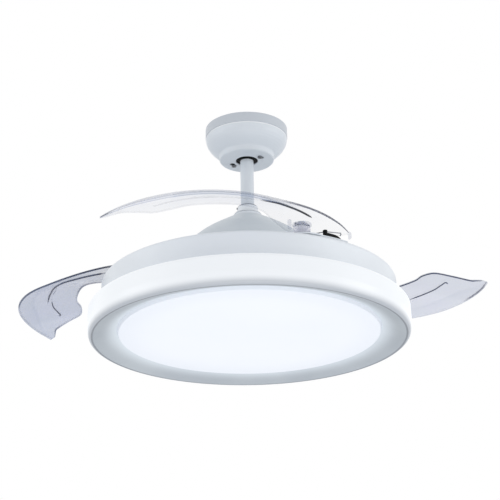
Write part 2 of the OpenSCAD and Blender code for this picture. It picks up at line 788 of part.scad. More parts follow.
// Curved rubber strip beside each opening stop, on the rim of the lobe
module stop_bumpers() {
    start = bumper_dir + asin((stop_post_r + seat_gap) / bumper_r);
    color(black_rubber) for (i = [0 : 2]) rotate([0, 0, pivot_dir(i) + start])
        translate([0, 0, carrier_z]) rotate_extrude(angle = bumper_span)
            translate([bumper_r - bumper_w / 2, 0]) square([bumper_w, bumper_h]);
}

// Spring wire: a straight leg from the opening stop, the coil, then a straight upper end
leg_len = sqrt(stop_r * stop_r - coil_r * coil_r) - stop_post_r - seat_gap;
leg_dir = post_dir - acos(coil_r / stop_r);
function coil_at(a) = [coil_r * cos(leg_dir - a), coil_r * sin(leg_dir - a),
    coil_z + coil_pitch * a / 360];
leg_way = [-sin(leg_dir), cos(leg_dir), 0];
wire = concat([for (k = [4 : -1 : 1]) coil_at(0) + leg_way * leg_len * k / 4],
    [for (k = [0 : coil_turns * coil_rings]) coil_at(360 * k / coil_rings)],
    [coil_at(360 * coil_turns) - leg_way * 2 * wire_r]);
function unit(v) = v / norm(v);
function along(i) = unit(wire[min(i + 1, len(wire) - 1)] - wire[max(i - 1, 0)]);
wire_sides = 6;
function wire_ring(i) = let (d = along(i), u = unit(cross(d, [0, 0, 1])), w = cross(u, d))
    [for (k = [0 : wire_sides - 1]) wire[i] + wire_r * (u * cos(k * 60) + w * sin(k * 60))];
wire_gap = min([for (i = [0 : len(wire) - 1]) for (j = [i + coil_rings - 2 : 1 : len(wire) - 1])
    norm(wire[i] - wire[j])]) - 2 * wire_r;
echo(least_gap_between_spring_turns = wire_gap);

module spring(i) {
    last = len(wire) - 1;
    n = wire_sides;
    color(dark_steel) at_pivot(i) polyhedron(
        points = [for (r = [0 : last]) each wire_ring(r)],
        faces = concat(
            [[for (k = [0 : n - 1]) k]],
            [for (r = [0 : last - 1]) for (k = [0 : n - 1]) [r * n + k, r * n + n + k,
                r * n + (k + 1) % n]],
            [for (r = [0 : last - 1]) for (k = [0 : n - 1]) [r * n + (k + 1) % n,
                r * n + n + k, r * n + n + (k + 1) % n]],
            [[for (k = [n - 1 : -1 : 0]) last * n + k]]));
}

// ---- blades ----

// Thin curved skin: a grid of points on the blade's surface, once on top and once below
module blade_skin() {
    m = chord_steps + 1;
    n = (blade_steps + 1) * m;
    span = len(sections) - 1;
    function grid(side) = [for (k = [0 : blade_steps]) for (c = [0 : chord_steps])
        let (s = k * span / blade_steps, o = edge_at(s, 0), i = edge_at(s, 1),
            p = o + (i - o) * c / chord_steps)
        [p[0], p[1], lift(p) + side * blade_t / 2]];
    function quads(f, flip) = [for (k = [0 : blade_steps - 1]) for (c = [0 : chord_steps - 1])
        for (h = [0, 1]) let (a = f + k * m + c, b = a + 1, e = a + m, g = e + 1,
            t = h == 0 ? [a, b, e] : [b, g, e]) flip ? [t[2], t[1], t[0]] : t];
    function wall(c, flip) = [for (k = [0 : blade_steps - 1]) for (h = [0, 1])
        let (a = k * m + c, b = a + m, t = h == 0 ? [a, b, a + n] : [b, b + n, a + n])
        flip ? [t[2], t[1], t[0]] : t];
    function cap(k, flip) = [for (c = [0 : chord_steps - 1]) for (h = [0, 1])
        let (a = k * m + c, b = a + 1, t = h == 0 ? [a, b, a + n] : [b, b + n, a + n])
        flip ? [t[2], t[1], t[0]] : t];
    polyhedron(points = concat(grid(1), grid(-1)), faces = concat(quads(0, true), quads(n, false),
        wall(0, true), wall(chord_steps, false), cap(0, false), cap(blade_steps, true)));
}

module blade(i, open) {
    color(clear_blade) translate([0, 0, blade_z]) on_blade(i, open) difference() {
        union() {
            blade_skin();
            translate([0, 0, -boss_down]) cylinder(r = boss_r, h = boss_down + boss_up);
            rotate([0, 0, lug_dir]) translate([stop_r, 0, -lug_drop])
                cylinder(r = lug_r, h = lug_drop + 1);
        }
        translate([0, 0, -boss_down - 1]) cylinder(r = bush_r, h = boss_down + boss_up + 2);
        for (s = [-1, 1]) translate([0, s * clamp_screw_y, 0])
            cylinder(r = clamp_screw_r, h = boss_up + 1);
    }
}

module clamp(i, open) {
    color(white_paint) on_blade(i, open) translate([0, 0, blade_z + boss_up]) difference() {
        cylinder(r = clamp_r, h = clamp_t);
        translate([0, 0, -1]) cylinder(r = bush_r, h = clamp_t + 2);
        for (s = [-1, 1]) translate([0, s * clamp_screw_y, -1])
            cylinder(r = clamp_screw_r, h = clamp_t + 2);
    }
}

module bush(i, open) {
    color(grey_plastic) on_blade(i, open) translate([0, 0, blade_z - boss_down])
        tube(bush_r, post_r + run_fit, boss_down + boss_up + clamp_t);
}

module clamp_screws(i, open) {
    top = boss_up + clamp_t;
    color(steel) on_blade(i, open) for (s = [-1, 1]) translate([0, s * clamp_screw_y, blade_z]) {
        translate([0, 0, 1]) cylinder(r = clamp_screw_r, h = top - 1);
        translate([0, 0, top]) cylinder(r = clamp_screw_r + 1, h = 1.2);
    }
}

ceiling_bracket();
canopy();
canopy_screws();
receiver_box();
terminal_block();
hanger_ball();
hanger_pin();
downrod();
lead_grommet();
supply_lead();
rod_yoke();
yoke_pin();
coupling_cover();
cover_screw();
motor_shaft();
bearing(upper_bearing_z);  // bearing_upper
bearing(lower_bearing_z);  // bearing_lower
stator_core();
stator_windings();
lamp_flange();
flange_screws();
shaft_nut();
lamp_housing();
plate_spacers();
led_plate();
led_boards();
led_driver();
light_ring();
trim_cone();
round_diffuser();
rotor_cup();
rotor_shield();
rotor_magnets();
rotor_screws();
blade_carrier();
dome_cover();
dome_screws();
pivot_posts();
pivot_caps();
stop_posts();
stop_bumpers();
spring(0);  // spring_front
spring(1);  // spring_right
spring(2);  // spring_left
blade(0, front_open);  // blade_front
blade(1, right_open);  // blade_right
blade(2, left_open);  // blade_left
clamp(0, front_open);  // clamp_front
clamp(1, right_open);  // clamp_right
clamp(2, left_open);  // clamp_left
bush(0, front_open);  // bush_front
bush(1, right_open);  // bush_right
bush(2, left_open);  // bush_left
clamp_screws(0, front_open);  // screws_front
clamp_screws(1, right_open);  // screws_right
clamp_screws(2, left_open);  // screws_left
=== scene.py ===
# %% [markdown]
# # A ceiling fan with folding clear blades
# The fan hangs on a short rod. A motor dome carries three clear blades that swing out over a round
# light. The metal and plastic pieces come from the CAD frame. Here they get their paint, metal and
# glow, and the blades, springs and rubber stops are modelled again with finer shapes.

# %% The frame
import json
import math

import bmesh
import bpy
from mathutils import Matrix, Vector


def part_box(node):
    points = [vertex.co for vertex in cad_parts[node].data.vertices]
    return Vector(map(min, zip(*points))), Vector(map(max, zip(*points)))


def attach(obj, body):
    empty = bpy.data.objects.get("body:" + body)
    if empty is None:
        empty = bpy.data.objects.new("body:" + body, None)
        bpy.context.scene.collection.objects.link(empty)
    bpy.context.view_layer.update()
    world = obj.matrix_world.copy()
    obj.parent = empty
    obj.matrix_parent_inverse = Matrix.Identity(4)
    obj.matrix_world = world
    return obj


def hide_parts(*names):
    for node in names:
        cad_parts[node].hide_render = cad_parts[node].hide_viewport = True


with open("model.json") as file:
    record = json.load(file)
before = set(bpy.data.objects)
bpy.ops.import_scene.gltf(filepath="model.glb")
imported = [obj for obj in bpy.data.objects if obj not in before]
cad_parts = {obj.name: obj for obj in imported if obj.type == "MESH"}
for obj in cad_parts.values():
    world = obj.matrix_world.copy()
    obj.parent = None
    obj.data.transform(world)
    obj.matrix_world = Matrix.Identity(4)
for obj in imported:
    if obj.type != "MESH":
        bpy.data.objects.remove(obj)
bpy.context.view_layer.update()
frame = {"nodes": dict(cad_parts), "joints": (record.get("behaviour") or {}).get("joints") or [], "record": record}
nodes = frame["nodes"]
MM = 0.001
print("CAD pieces:", len(nodes))

# %% [markdown]
# ## The camera
# The camera stands about two metres away and below the fan, and looks up by 22 degrees through a long
# lens. It could be placed by eye, but its spot, lens and angles were worked out from the ellipses of
# the round parts, so the solids fit the picture. The picture is square, so one sensor width serves for
# both sides. The camera is rolled by less than a degree, because the fan leans a little in the picture.

# %% The camera
PICTURE = 500
FOCAL_PX = 1400
SENSOR = 36.0
CAMERA_SPOT = (0, -2.100, -1.066)
CAMERA_PITCH = 22.04
CAMERA_YAW = 0.076
CAMERA_ROLL = 0.95
camera = bpy.data.objects.new("camera", bpy.data.cameras.new("camera"))
camera.data.sensor_width = SENSOR
camera.data.lens = SENSOR * FOCAL_PX / PICTURE
camera.matrix_world = (Matrix.Translation(CAMERA_SPOT)
                       @ Matrix.Rotation(math.radians(-CAMERA_YAW), 4, "Z")
                       @ Matrix.Rotation(math.radians(90 + CAMERA_PITCH), 4, "X")
                       @ Matrix.Rotation(math.radians(-CAMERA_ROLL), 4, "Z"))
bpy.context.scene.collection.objects.link(camera)
bpy.context.scene.camera = camera
print("lens", round(camera.data.lens, 1), "mm")

# %% [markdown]
# ## Colours
# A screen counts colours from 0 to 255, and not evenly: half of 255 is only a fifth of the light.
# Shaders count in light. So colours are written here as they look on a screen, which is easy to judge
# by eye, and one short function turns them into light.

# %% Colours


def srgb(red, green, blue):
    """A screen colour, 0 to 255, as the light values that shaders use."""
    def linear(c):
        c = c / 255
        return c / 12.92 if c <= 0.04045 else ((c + 0.055) / 1.055) ** 2.4
    return (linear(red), linear(green), linear(blue), 1.0)


def darker(colour, share):
    return tuple(c * share for c in colour[:3]) + (1.0,)


BLACK = srgb(0, 0, 0)
WHITE = srgb(255, 255, 255)
print("white as light:", round(WHITE[0], 3), "mid grey:", round(srgb(128, 128, 128)[0], 3))

# %% [markdown]
# ## Sums on sockets
# A finish is a small sum of patterns: noise, height, distance from the axis. Such sums can be drawn as
# nodes by hand, but they are easier to read as plain expressions. A socket is therefore wrapped in a
# class that knows plus, minus and times, and each expression adds its own Math node.

# %% Sums on sockets


class Value:
    """One socket that ordinary sums can be written on."""

    def __init__(self, graph, socket):
        self.graph = graph
        self.socket = socket

    def sum(self, operation, first, second=None):
        inputs = [first] if second is None else [first, second]
        return self.graph.node("ShaderNodeMath", {"operation": operation}, inputs)

    def __add__(self, other):
        return self.sum("ADD", self, other)

    def __radd__(self, other):
        return self.sum("ADD", other, self)

    def __sub__(self, other):
        return self.sum("SUBTRACT", self, other)

    def __rsub__(self, other):
        return self.sum("SUBTRACT", other, self)

    def __mul__(self, other):
        return self.sum("MULTIPLY", self, other)

    def __rmul__(self, other):
        return self.sum("MULTIPLY", other, self)

    def __truediv__(self, other):
        return self.sum("DIVIDE", self, other)

    def __pow__(self, other):
        return self.sum("POWER", self, other)

    def most(self, other):
        """The larger of two numbers."""
        return self.sum("MAXIMUM", self, other)

    def root(self):
        return self.sum("SQRT", self)

    def sine(self):
        return self.sum("SINE", self)

    def step(self, low, high):
        """0 below low, 1 above high, and a smooth rise between them."""
        return self.graph.node("ShaderNodeMapRange", {"interpolation_type": "SMOOTHSTEP"},
                               {"Value": self, "From Min": low, "From Max": high})

    def window(self, low, high, soft):
        """1 between low and high, 0 outside, with soft edges."""
        return self.step(low - soft, low + soft) * (1 - self.step(high - soft, high + soft))


# %% [markdown]
# ## Graphs and finishes
# A material, and the air round the fan, are graphs of nodes. One method adds any node, and a few
# others name what the finishes need most: a place on the object, a noise, a mix of two colours. A
# finish is a graph with one Principled shader, which suits paint, metal, plastic and rubber alike.
# Patterns read object coordinates, so they stay on a piece when it moves.

# %% Graphs and finishes


class Graph:
    """A tree of nodes that grows by one node at a time."""

    def __init__(self, tree):
        self.tree = tree

    def node(self, kind, settings=None, inputs=(), output=0):
        """Adds any node: its settings first, then the values or links of its sockets."""
        made = self.tree.nodes.new(kind)
        for key, value in (settings or {}).items():
            setattr(made, key, value)
        pairs = inputs.items() if isinstance(inputs, dict) else enumerate(inputs)
        for key, value in pairs:
            self.put(made.inputs[key], value)
        return Value(self, made.outputs[output])

    def put(self, socket, value):
        if isinstance(value, Value):
            self.tree.links.new(value.socket, socket)
        else:
            socket.default_value = value

    def mix(self, mask, first, second):
        """Goes from the first colour to the second as the mask goes from 0 to 1."""
        return self.node("ShaderNodeMix", {"data_type": "RGBA"}, {0: mask, 6: first, 7: second}, output=2)


class Finish(Graph):
    """A material with one Principled shader."""

    def __init__(self, name, **fixed):
        self.material = bpy.data.materials.new(name)
        self.material.use_nodes = True
        super().__init__(self.material.node_tree)
        self.shader = self.tree.nodes["Principled BSDF"]
        for socket, value in fixed.items():
            self.shader.inputs[socket.replace("_", " ")].default_value = value

    def feed(self, socket, value):
        self.put(self.shader.inputs[socket], value)

    def place(self):
        """Object coordinates, in metres from the ceiling's centre."""
        return self.node("ShaderNodeTexCoord", output="Object")

    def split(self, vector):
        outputs = self.node("ShaderNodeSeparateXYZ", inputs=[vector]).socket.node.outputs
        return [Value(self, outputs[axis]) for axis in "XYZ"]

    def axes(self):
        return self.split(self.place())

    def own_map(self):
        """The piece's UV map."""
        return self.split(self.node("ShaderNodeTexCoord", output="UV"))

    def from_axis(self):
        x, y, _ = self.axes()
        return (x * x + y * y).root()

    def grazing(self):
        """1 where the eye looks along the surface, 0 where it looks straight at it."""
        return self.node("ShaderNodeLayerWeight", inputs={"Blend": 0.5}, output="Facing")

    def noise(self, scale, detail=3):
        """Soft random blots, about 1 / scale metres apart. Detail adds finer ones."""
        return self.node("ShaderNodeTexNoise", inputs={
            "Vector": self.place(), "Scale": scale, "Detail": detail})

    def bump(self, height, strength, distance):
        self.feed("Normal", self.node("ShaderNodeBump", inputs={
            "Height": height, "Strength": strength, "Distance": distance}))


# %% [markdown]
# ## Powder coat
# The canopy, rod, dome and housing are sheet steel with a satin powder coat. Seen close, such paint
# has a fine orange peel, and its gloss changes a little from place to place. A picture could give both,
# but noise has no seams and needs no map. A fine noise drives the bump, and a slow one moves the
# colour and the gloss by a few per cent.

# %% Powder coat
# BRIGHT is the same white coat made brighter for the housing and the coupling cover: painted light.
BRIGHT = srgb(238, 243, 248)
PEEL_DEPTH = 0.3 * MM


def powder_coat(name, colour, roughness=0.42, tint=None):
    finish = Finish(name, IOR=1.5, Coat_Roughness=0.25)
    slow = finish.noise(9, 4)
    peel = finish.noise(620, 2)
    paint = finish.mix(slow.step(0.35, 0.7), darker(colour, 0.96), colour)
    finish.feed("Base Color", tint(finish, paint) if tint else paint)
    finish.feed("Roughness", roughness + 0.12 * (slow - 0.5) + 0.05 * (peel - 0.5))
    finish.feed("Coat Weight", 0.12 + 0.1 * slow)
    finish.bump(peel, 0.10, PEEL_DEPTH)
    return finish.material


white = powder_coat("white_powder_coat", srgb(228, 234, 240))
housing_white = powder_coat("bright_powder_coat", BRIGHT)
print("made", white.name, "and", housing_white.name)

# %% [markdown]
# ## Bands in the paint
# Three painted pieces aren't one even shade. The canopy's rim is painted a little greyer than its bowl as
# shade, over a painted highlight where the bowl steps in. The coupling cover has a painted shadow along
# its upper edge, round the rod, and the dome is brighter near its top. Each band is a soft step in
# height, mixed into the same powder coat, so the orange peel runs on through it.

# %% Bands in the paint
RIM_H = 16.5 * MM
HIGHLIGHT_FOOT = 1.8 * MM
HIGHLIGHT_TOP = 0.3 * MM
HIGHLIGHT_SOFT = 0.3 * MM
RIM_SHADE_SOFT = 0.4 * MM
CROWN_H = 9 * MM
CROWN_SOFT = 2 * MM
ROD_SHADOW_FROM = 2.2 * MM
ROD_SHADOW_FULL = 1.6 * MM
SOFT_WHITE = srgb(226, 232, 238)
cover_low, cover_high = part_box("coupling_cover")
print("the cover spans heights", round(cover_low.z, 4), "to", round(cover_high.z, 4), "m")


def canopy_coat(name, bowl, band, step_highlight):
    """The canopy's straight rim is greyer with painted shade, over a painted highlight where the bowl steps in."""
    def tint(finish, paint):
        height = finish.axes()[2]
        # Painted highlight: a pale line under the rim, where the bowl steps in. Painted shade: the rim band above
        # it is greyer.
        line = height.window(-RIM_H - HIGHLIGHT_FOOT, -RIM_H - HIGHLIGHT_TOP, HIGHLIGHT_SOFT)
        with_highlight = finish.mix(line, paint, step_highlight)
        return finish.mix(height.step(-RIM_H - RIM_SHADE_SOFT, -RIM_H + RIM_SHADE_SOFT), with_highlight, band)
    return powder_coat(name, bowl, tint=tint)


def cover_coat(name, colour, rod_shadow):
    """The coupling cover has a painted shadow, a dark line round the rod along its upper edge."""
    def tint(finish, paint):
        # Painted shadow: the cover's upper edge is dark where it meets the rod.
        shadow_mask = finish.axes()[2].step(cover_high.z - ROD_SHADOW_FROM, cover_high.z - ROD_SHADOW_FULL)
        return finish.mix(shadow_mask, paint, rod_shadow)
    return powder_coat(name, colour, tint=tint)


def dome_coat(name, colour, crown):
    """The dome's crown, just under the coupling cover, is brighter than the rest of it."""
    foot = cover_low.z - CROWN_H

    def tint(finish, paint):
        bright = finish.axes()[2].step(foot - CROWN_SOFT, foot + CROWN_SOFT)
        return finish.mix(bright, paint, crown)
    return powder_coat(name, colour, roughness=0.46, tint=tint)


# The canopy's rim colour is painted shade, and its step colour is a painted highlight.
canopy_white = canopy_coat("canopy_powder_coat", SOFT_WHITE, srgb(201, 207, 214), srgb(250, 252, 254))
# The cover's dark colour is its painted shadow at the rod.
cover_white = cover_coat("cover_powder_coat", BRIGHT, srgb(96, 101, 108))
dome_white = dome_coat("dome_powder_coat", srgb(208, 216, 223), SOFT_WHITE)
print("made", canopy_white.name, cover_white.name, "and", dome_white.name)

# %% [markdown]
# ## Metals
# Zinc plated screws have a soft mottled shine. The springs and the blackened bracket and coupling
# have the same mottle in other shades; the bracket's black is painted shade inside the canopy. Turned
# pieces, such as the rotor and the lamp's plate, show fine rings round the axis. The rings are a sine of
# the distance to the axis, so they stay round on every piece that is centred on it, which a stretched
# noise would not.

# %% Metals
MOTTLE_DEPTH = 0.2 * MM
RING_DEPTH = 0.1 * MM
RINGS_PER_M = 7000


def zinc(name, colour, roughness=0.3):
    finish = Finish(name, Metallic=1.0)
    spangle = finish.noise(380, 3)
    finish.feed("Base Color", finish.mix(spangle.step(0.3, 0.75), darker(colour, 0.82), colour))
    finish.feed("Roughness", roughness + 0.2 * (spangle - 0.5))
    finish.bump(spangle, 0.12, MOTTLE_DEPTH)
    return finish.material


def turned(name, colour, metallic=1.0, roughness=0.34):
    finish = Finish(name)
    rings = (finish.from_axis() * RINGS_PER_M).sine() * 0.5 + 0.5
    blotch = finish.noise(30, 4)
    finish.feed("Metallic", metallic - 0.1 * blotch)
    finish.feed("Base Color", finish.mix(blotch.step(0.35, 0.7), darker(colour, 0.85), colour))
    finish.feed("Roughness", roughness + 0.1 * rings + 0.08 * (blotch - 0.5))
    finish.bump(rings, 0.15, RING_DEPTH)
    return finish.material


plated = zinc("zinc_plate", srgb(200, 202, 205))
dulled = zinc("dull_zinc", srgb(138, 140, 144), 0.36)
blackened = zinc("blackened_steel", srgb(26, 27, 30), 0.46)
black_screw = zinc("black_screw", srgb(16, 16, 18), 0.5)
wire = zinc("spring_steel", srgb(150, 152, 158), 0.36)
cast = turned("turned_aluminium", srgb(196, 198, 201))
led_white = turned("white_aluminium_sheet", srgb(236, 238, 240), 0.25, 0.5)
print("metals:", len((plated, dulled, blackened, black_screw, wire, cast, led_white)))

# %% [markdown]
# ## Plastic, rubber and copper
# Moulded plastic has a fine grain and a faint unevenness in its colour. Rubber is rougher and has
# dusty high spots. The copper windings need the look of many turns laid side by side. Real turns would
# be thousands of wires, and a fine wave across the height gives the same look on plain rings.

# %% Plastic, rubber and copper
GRAIN_DEPTH = 0.2 * MM
TURN_DEPTH = 0.3 * MM
WAVES_PER_M = 9000


def moulded(name, colour):
    finish = Finish(name, IOR=1.46)
    fine = finish.noise(900, 3)
    slow = finish.noise(14, 3)
    finish.feed("Base Color", finish.mix(slow.step(0.3, 0.75), darker(colour, 0.93), colour))
    finish.feed("Roughness", 0.45 + 0.15 * (fine - 0.5))
    finish.bump(fine, 0.15, GRAIN_DEPTH)
    return finish.material


def rubber(name):
    finish = Finish(name, IOR=1.5, Specular_IOR_Level=0.15)
    dust = finish.noise(260, 5)
    finish.feed("Base Color", finish.mix(dust.step(0.55, 0.8), srgb(4, 4, 5), srgb(22, 22, 25)))
    finish.feed("Roughness", 0.58 + 0.25 * (dust - 0.5))
    finish.bump(dust, 0.25, GRAIN_DEPTH)
    return finish.material


def winding(name):
    finish = Finish(name)
    turns = (finish.axes()[2] * WAVES_PER_M).sine() * 0.5 + 0.5
    tone = finish.noise(120, 4)
    finish.feed("Metallic", 0.75 + 0.2 * tone)
    finish.feed("Base Color", finish.mix(turns, srgb(122, 58, 26), srgb(206, 124, 70)))
    finish.feed("Roughness", 0.3 + 0.2 * tone)
    finish.bump(turns, 0.5, TURN_DEPTH)
    return finish.material


grey = moulded("grey_plastic", srgb(118, 122, 128))
milky = moulded("white_plastic", srgb(224, 228, 233))
black = rubber("black_rubber")
copper = winding("copper_winding")
print("made", grey.name, milky.name, black.name, "and", copper.name)

# %% [markdown]
# ## The light
# The side ring and the round diffuser are opal plastic, lit from behind. They glow evenly, a little
# less at their edges, where no lamp lies behind the plastic. Lamps inside could light them, but the
# light would be noisy and would have to pass the plastic. So the glow is an emission colour, which
# changes with height on the ring and with the distance from the axis on the disc. The ring's inner lip
# is thick and doesn't glow, and its colour is painted darker as shade; that draws the thin grey line
# round the opening.

# %% The light
low_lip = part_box("light_ring")[0].z
high_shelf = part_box("light_ring")[1].z
lip_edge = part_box("trim_cone")[1].x
LIP_INSIDE = 1.2 * MM
LIP_OUTSIDE = 2.2 * MM
DISC_FLANGE = 5.7 * MM
SMOOTH_DEPTH = 0.2 * MM
face_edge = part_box("round_diffuser")[1].x - DISC_FLANGE
print("light ring from", round(low_lip, 4), "to", round(high_shelf, 4), "m")
print("the disc's face has radius", round(face_edge, 4), "m")


def lit_ring(name):
    finish = Finish(name, Emission_Strength=1.0, IOR=1.49)
    height = (finish.axes()[2] - low_lip) / (high_shelf - low_lip)
    cloud = finish.noise(7, 2)
    glow = finish.mix(height.step(-0.1, 0.3), srgb(52, 57, 64), srgb(202, 203, 203))
    past_lip = finish.from_axis().step(lip_edge + LIP_INSIDE, lip_edge + LIP_OUTSIDE)
    inner_lip = (1 - past_lip) * (1 - height.step(0.06, 0.12))
    opal = finish.mix(cloud, srgb(140, 146, 154), srgb(148, 153, 160))
    # Painted shade: the inner lip's base colour is darker, and it gets no glow.
    finish.feed("Base Color", finish.mix(inner_lip, opal, srgb(124, 129, 136)))
    finish.feed("Emission Color", finish.mix(inner_lip, glow, BLACK))
    finish.feed("Roughness", 0.28 + 0.08 * cloud)
    finish.bump(finish.noise(500, 2), 0.04, SMOOTH_DEPTH)
    return finish.material


def lit_disc(name):
    finish = Finish(name, Emission_Strength=1.0, IOR=1.49)
    radius = finish.from_axis() / face_edge
    cloud = finish.noise(6, 2)
    finish.feed("Base Color", finish.mix(cloud, srgb(196, 202, 210), srgb(204, 208, 214)))
    outward = (radius + 0.06 * cloud).step(0.75, 1.05)
    finish.feed("Emission Color", finish.mix(outward, srgb(142, 142, 143), srgb(132, 133, 137)))
    finish.feed("Roughness", 0.5 + 0.1 * cloud)
    finish.bump(finish.noise(700, 2), 0.05, SMOOTH_DEPTH)
    return finish.material


ring_light = lit_ring("lit_ring")
disc_light = lit_disc("lit_disc")
print("made", ring_light.name, "and", disc_light.name)

# %% [markdown]
# ## The silver cone
# Between the lip and the diffuser lies a satin silver cone. It is plastic with a metallic lacquer, so
# it is partly metal, partly diffuse, with tiny flakes. The lit edge of the diffuser shines on its
# inner border. That light is painted as a faint glow which fades within two fingers' width, because the
# diffuser's own emission is only as bright as it looks and would light the cone too little. A thin
# darker ring on the cone's outer border, just inside the lip, is painted shadow.

# %% The silver cone
GLOW_REACH = 34 * MM
LIP_SHADOW_INSIDE = 1.6 * MM
LIP_SHADOW_OUTSIDE = 0.8 * MM
FLAKES_PER_M = 900
FLAKE_DEPTH = 0.1 * MM


def silver_lacquer(name):
    finish = Finish(name, IOR=1.5, Emission_Strength=1.0)
    flakes = finish.node("ShaderNodeTexVoronoi", inputs={
        "Vector": finish.place(), "Scale": FLAKES_PER_M})
    cloud = finish.noise(8, 3)
    radius = finish.from_axis()
    # Painted shadow: a thin darker ring just inside the lip.
    lip_shadow = radius.step(lip_edge - LIP_SHADOW_INSIDE, lip_edge - LIP_SHADOW_OUTSIDE)
    lacquer = finish.mix(cloud.step(0.3, 0.7), srgb(168, 175, 182), srgb(178, 185, 191))
    shine = (1 - radius.step(face_edge, face_edge + GLOW_REACH)) ** 1.5
    finish.feed("Metallic", 0.3 + 0.2 * cloud)
    finish.feed("Base Color", finish.mix(lip_shadow, lacquer, srgb(138, 145, 154)))
    finish.feed("Emission Color", finish.mix(shine, BLACK, srgb(140, 145, 149)))
    finish.feed("Roughness", 0.4 + 0.1 * flakes)
    finish.bump(flakes, 0.05, FLAKE_DEPTH)
    return finish.material


silver = silver_lacquer("silver_lacquer")
print("made", silver.name, "with a glow", round(1000 * GLOW_REACH), "mm wide")

# %% [markdown]
# ## Clear plastic
# The blades are clear polycarbonate with a smoky blue tint. Where the plastic is thin it shows what
# lies behind it, and where one looks along it, as at its rim and ribs, it turns nearly black. The
# blade's own map tells how far a point lies from the outer edge, so the raised band there can be
# denser than the rest. The boss is thick and looks milky: its faces lie outside the map's square, at 2.
# Glass made of transmission would be slow and noisy behind so many thin layers, so the shader's Alpha
# says how much of the plastic shows. The rim and ribs have a darker and denser finish of their own,
# with dark windows along their length, which are painted reflections.

# %% Clear plastic
WAVE_DEPTH = 0.5 * MM


def clear_sheet(name, density, band_density):
    finish = Finish(name, IOR=1.58, Specular_IOR_Level=0.5)
    across, along, _ = finish.own_map()
    cloud = finish.noise(18, 3)
    band = across.step(-0.02, 0.24) * (1 - across.step(0.25, 0.29))
    band_line = across.window(0.22, 0.26, 0.01)
    in_band = (band + band_line) * along.step(0.26, 0.4)
    in_boss = across.step(1.2, 1.5)
    far_out = 0.6 + 0.4 * along.step(0.12, 0.34)
    in_heel = 0.12 * (1 - along.step(0.05, 0.07))
    tint = finish.mix(cloud.step(0.3, 0.7), srgb(112, 134, 172), srgb(128, 142, 182))
    finish.feed("Base Color", finish.mix(in_boss, tint, srgb(236, 237, 248)))
    plain = (density + (band_density - density) * in_band) * far_out
    edge_on = 0.3 * finish.grazing() ** 7
    finish.feed("Alpha", plain + in_heel + 0.5 * in_boss + 0.05 * (cloud - 0.5) + edge_on)
    finish.feed("Roughness", 0.07 + 0.05 * cloud)
    finish.bump(finish.noise(60, 2), 0.03, WAVE_DEPTH)
    return finish.material


def clear_edge(name, colour, windows, dense, pale):
    """A rim or rib: dense within its windows, shares of its length, and pale elsewhere."""
    finish = Finish(name, IOR=1.58)
    along = finish.own_map()[0]
    cloud = finish.noise(40, 3)
    # The windows are painted reflections: stretches of the line that are dark and dense.
    mask = 0
    for low, high in windows:
        mask = mask + along.window(low, high, 0.04)
    finish.feed("Base Color", finish.mix(cloud, colour, darker(colour, 1.25)))
    finish.feed("Alpha", pale + (dense - pale) * mask - 0.1 * cloud)
    finish.feed("Roughness", 0.14 + 0.08 * cloud)
    return finish.material


clamp_clear = clear_sheet("clear_ring", 0.04, 0.04)
print("made", clamp_clear.name)

# %% [markdown]
# ## Finishes by slot
# The record names a material slot for each CAD piece, and each slot has one finish. That keeps pieces
# of one material alike, with one place to change them.

# %% Finishes by slot
FINISHES = {
    "white_paint": white, "dome_paint": dome_white, "zinc_steel": plated, "black_metal": blackened,
    "motor_aluminium": cast, "led_plate_aluminium": led_white, "copper_wire": copper,
    "grey_plastic": grey, "white_plastic": milky, "black_rubber": black, "spring_wire": wire,
    "clear_blade": clamp_clear, "ring_diffuser": ring_light, "opal_diffuser": disc_light,
    "silver_cone": silver}
print("slots with a finish:", len(FINISHES))

# %% [markdown]
# ## Pieces with their own finish
# A few pieces differ from the rest of their slot. The housing and the coupling cover get a brighter
# copy of the white coat, which is painted light. The canopy's round hole and keyholes are in shade, and
# that shade is painted: the bracket behind them is blackened and the hanger ball has a black rubber skin.
# The canopy's own screws are a duller zinc, and the pivots of the blades are pale plastic. The CAD
# meshes keep their shape and only get a new material.

# %% Pieces with their own finish
SPECIAL = {
    # The blackened bracket and the black hanger ball are painted shade in the canopy's holes.
    "canopy": canopy_white, "canopy_screws": dulled, "ceiling_bracket": blackened, "hanger_ball": black,
    # The housing's and the cover's brighter white is painted light.
    "coupling_cover": cover_white, "cover_screw": black_screw, "lamp_housing": housing_white,
    "pivot_posts": milky, "pivot_caps": milky,
    "bush_front": milky, "bush_right": milky, "bush_left": milky,
    "screws_front": milky, "screws_right": milky, "screws_left": milky}
for row in frame["record"]["subparts"]:
    mesh = nodes[row["node"]].data
    mesh.materials.clear()
    mesh.materials.append(SPECIAL.get(row["node"], FINISHES[row["material_slot"]]))
print("pieces with their own finish:", len(SPECIAL))

# %% [markdown]
# ## Helpers for new pieces
# Every new piece is a bmesh that is turned into a mesh object at the origin. The piece is told which
# body it rides on, which CAD pieces it stands for, which are hidden, and its finish. Faces are
# shaded smooth, and only edges that bend sharply are kept crisp.

# %% Helpers for new pieces


def piece(name, bm, finish, body, replaced=()):
    bmesh.ops.recalc_face_normals(bm, faces=bm.faces)
    mesh = bpy.data.meshes.new(name)
    bm.to_mesh(mesh)
    bm.free()
    made = bpy.data.objects.new(name, mesh)
    bpy.context.scene.collection.objects.link(made)
    mesh.materials.append(finish)
    for face in mesh.polygons:
        face.use_smooth = True
    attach(made, body)
    if replaced:
        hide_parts(*replaced)
    return made


def sharpen(made, degrees):
    """Keeps the edges that bend by more than the angle crisp under smooth shading."""
    made.data.set_sharp_from_angle(angle=math.radians(degrees))
    return made


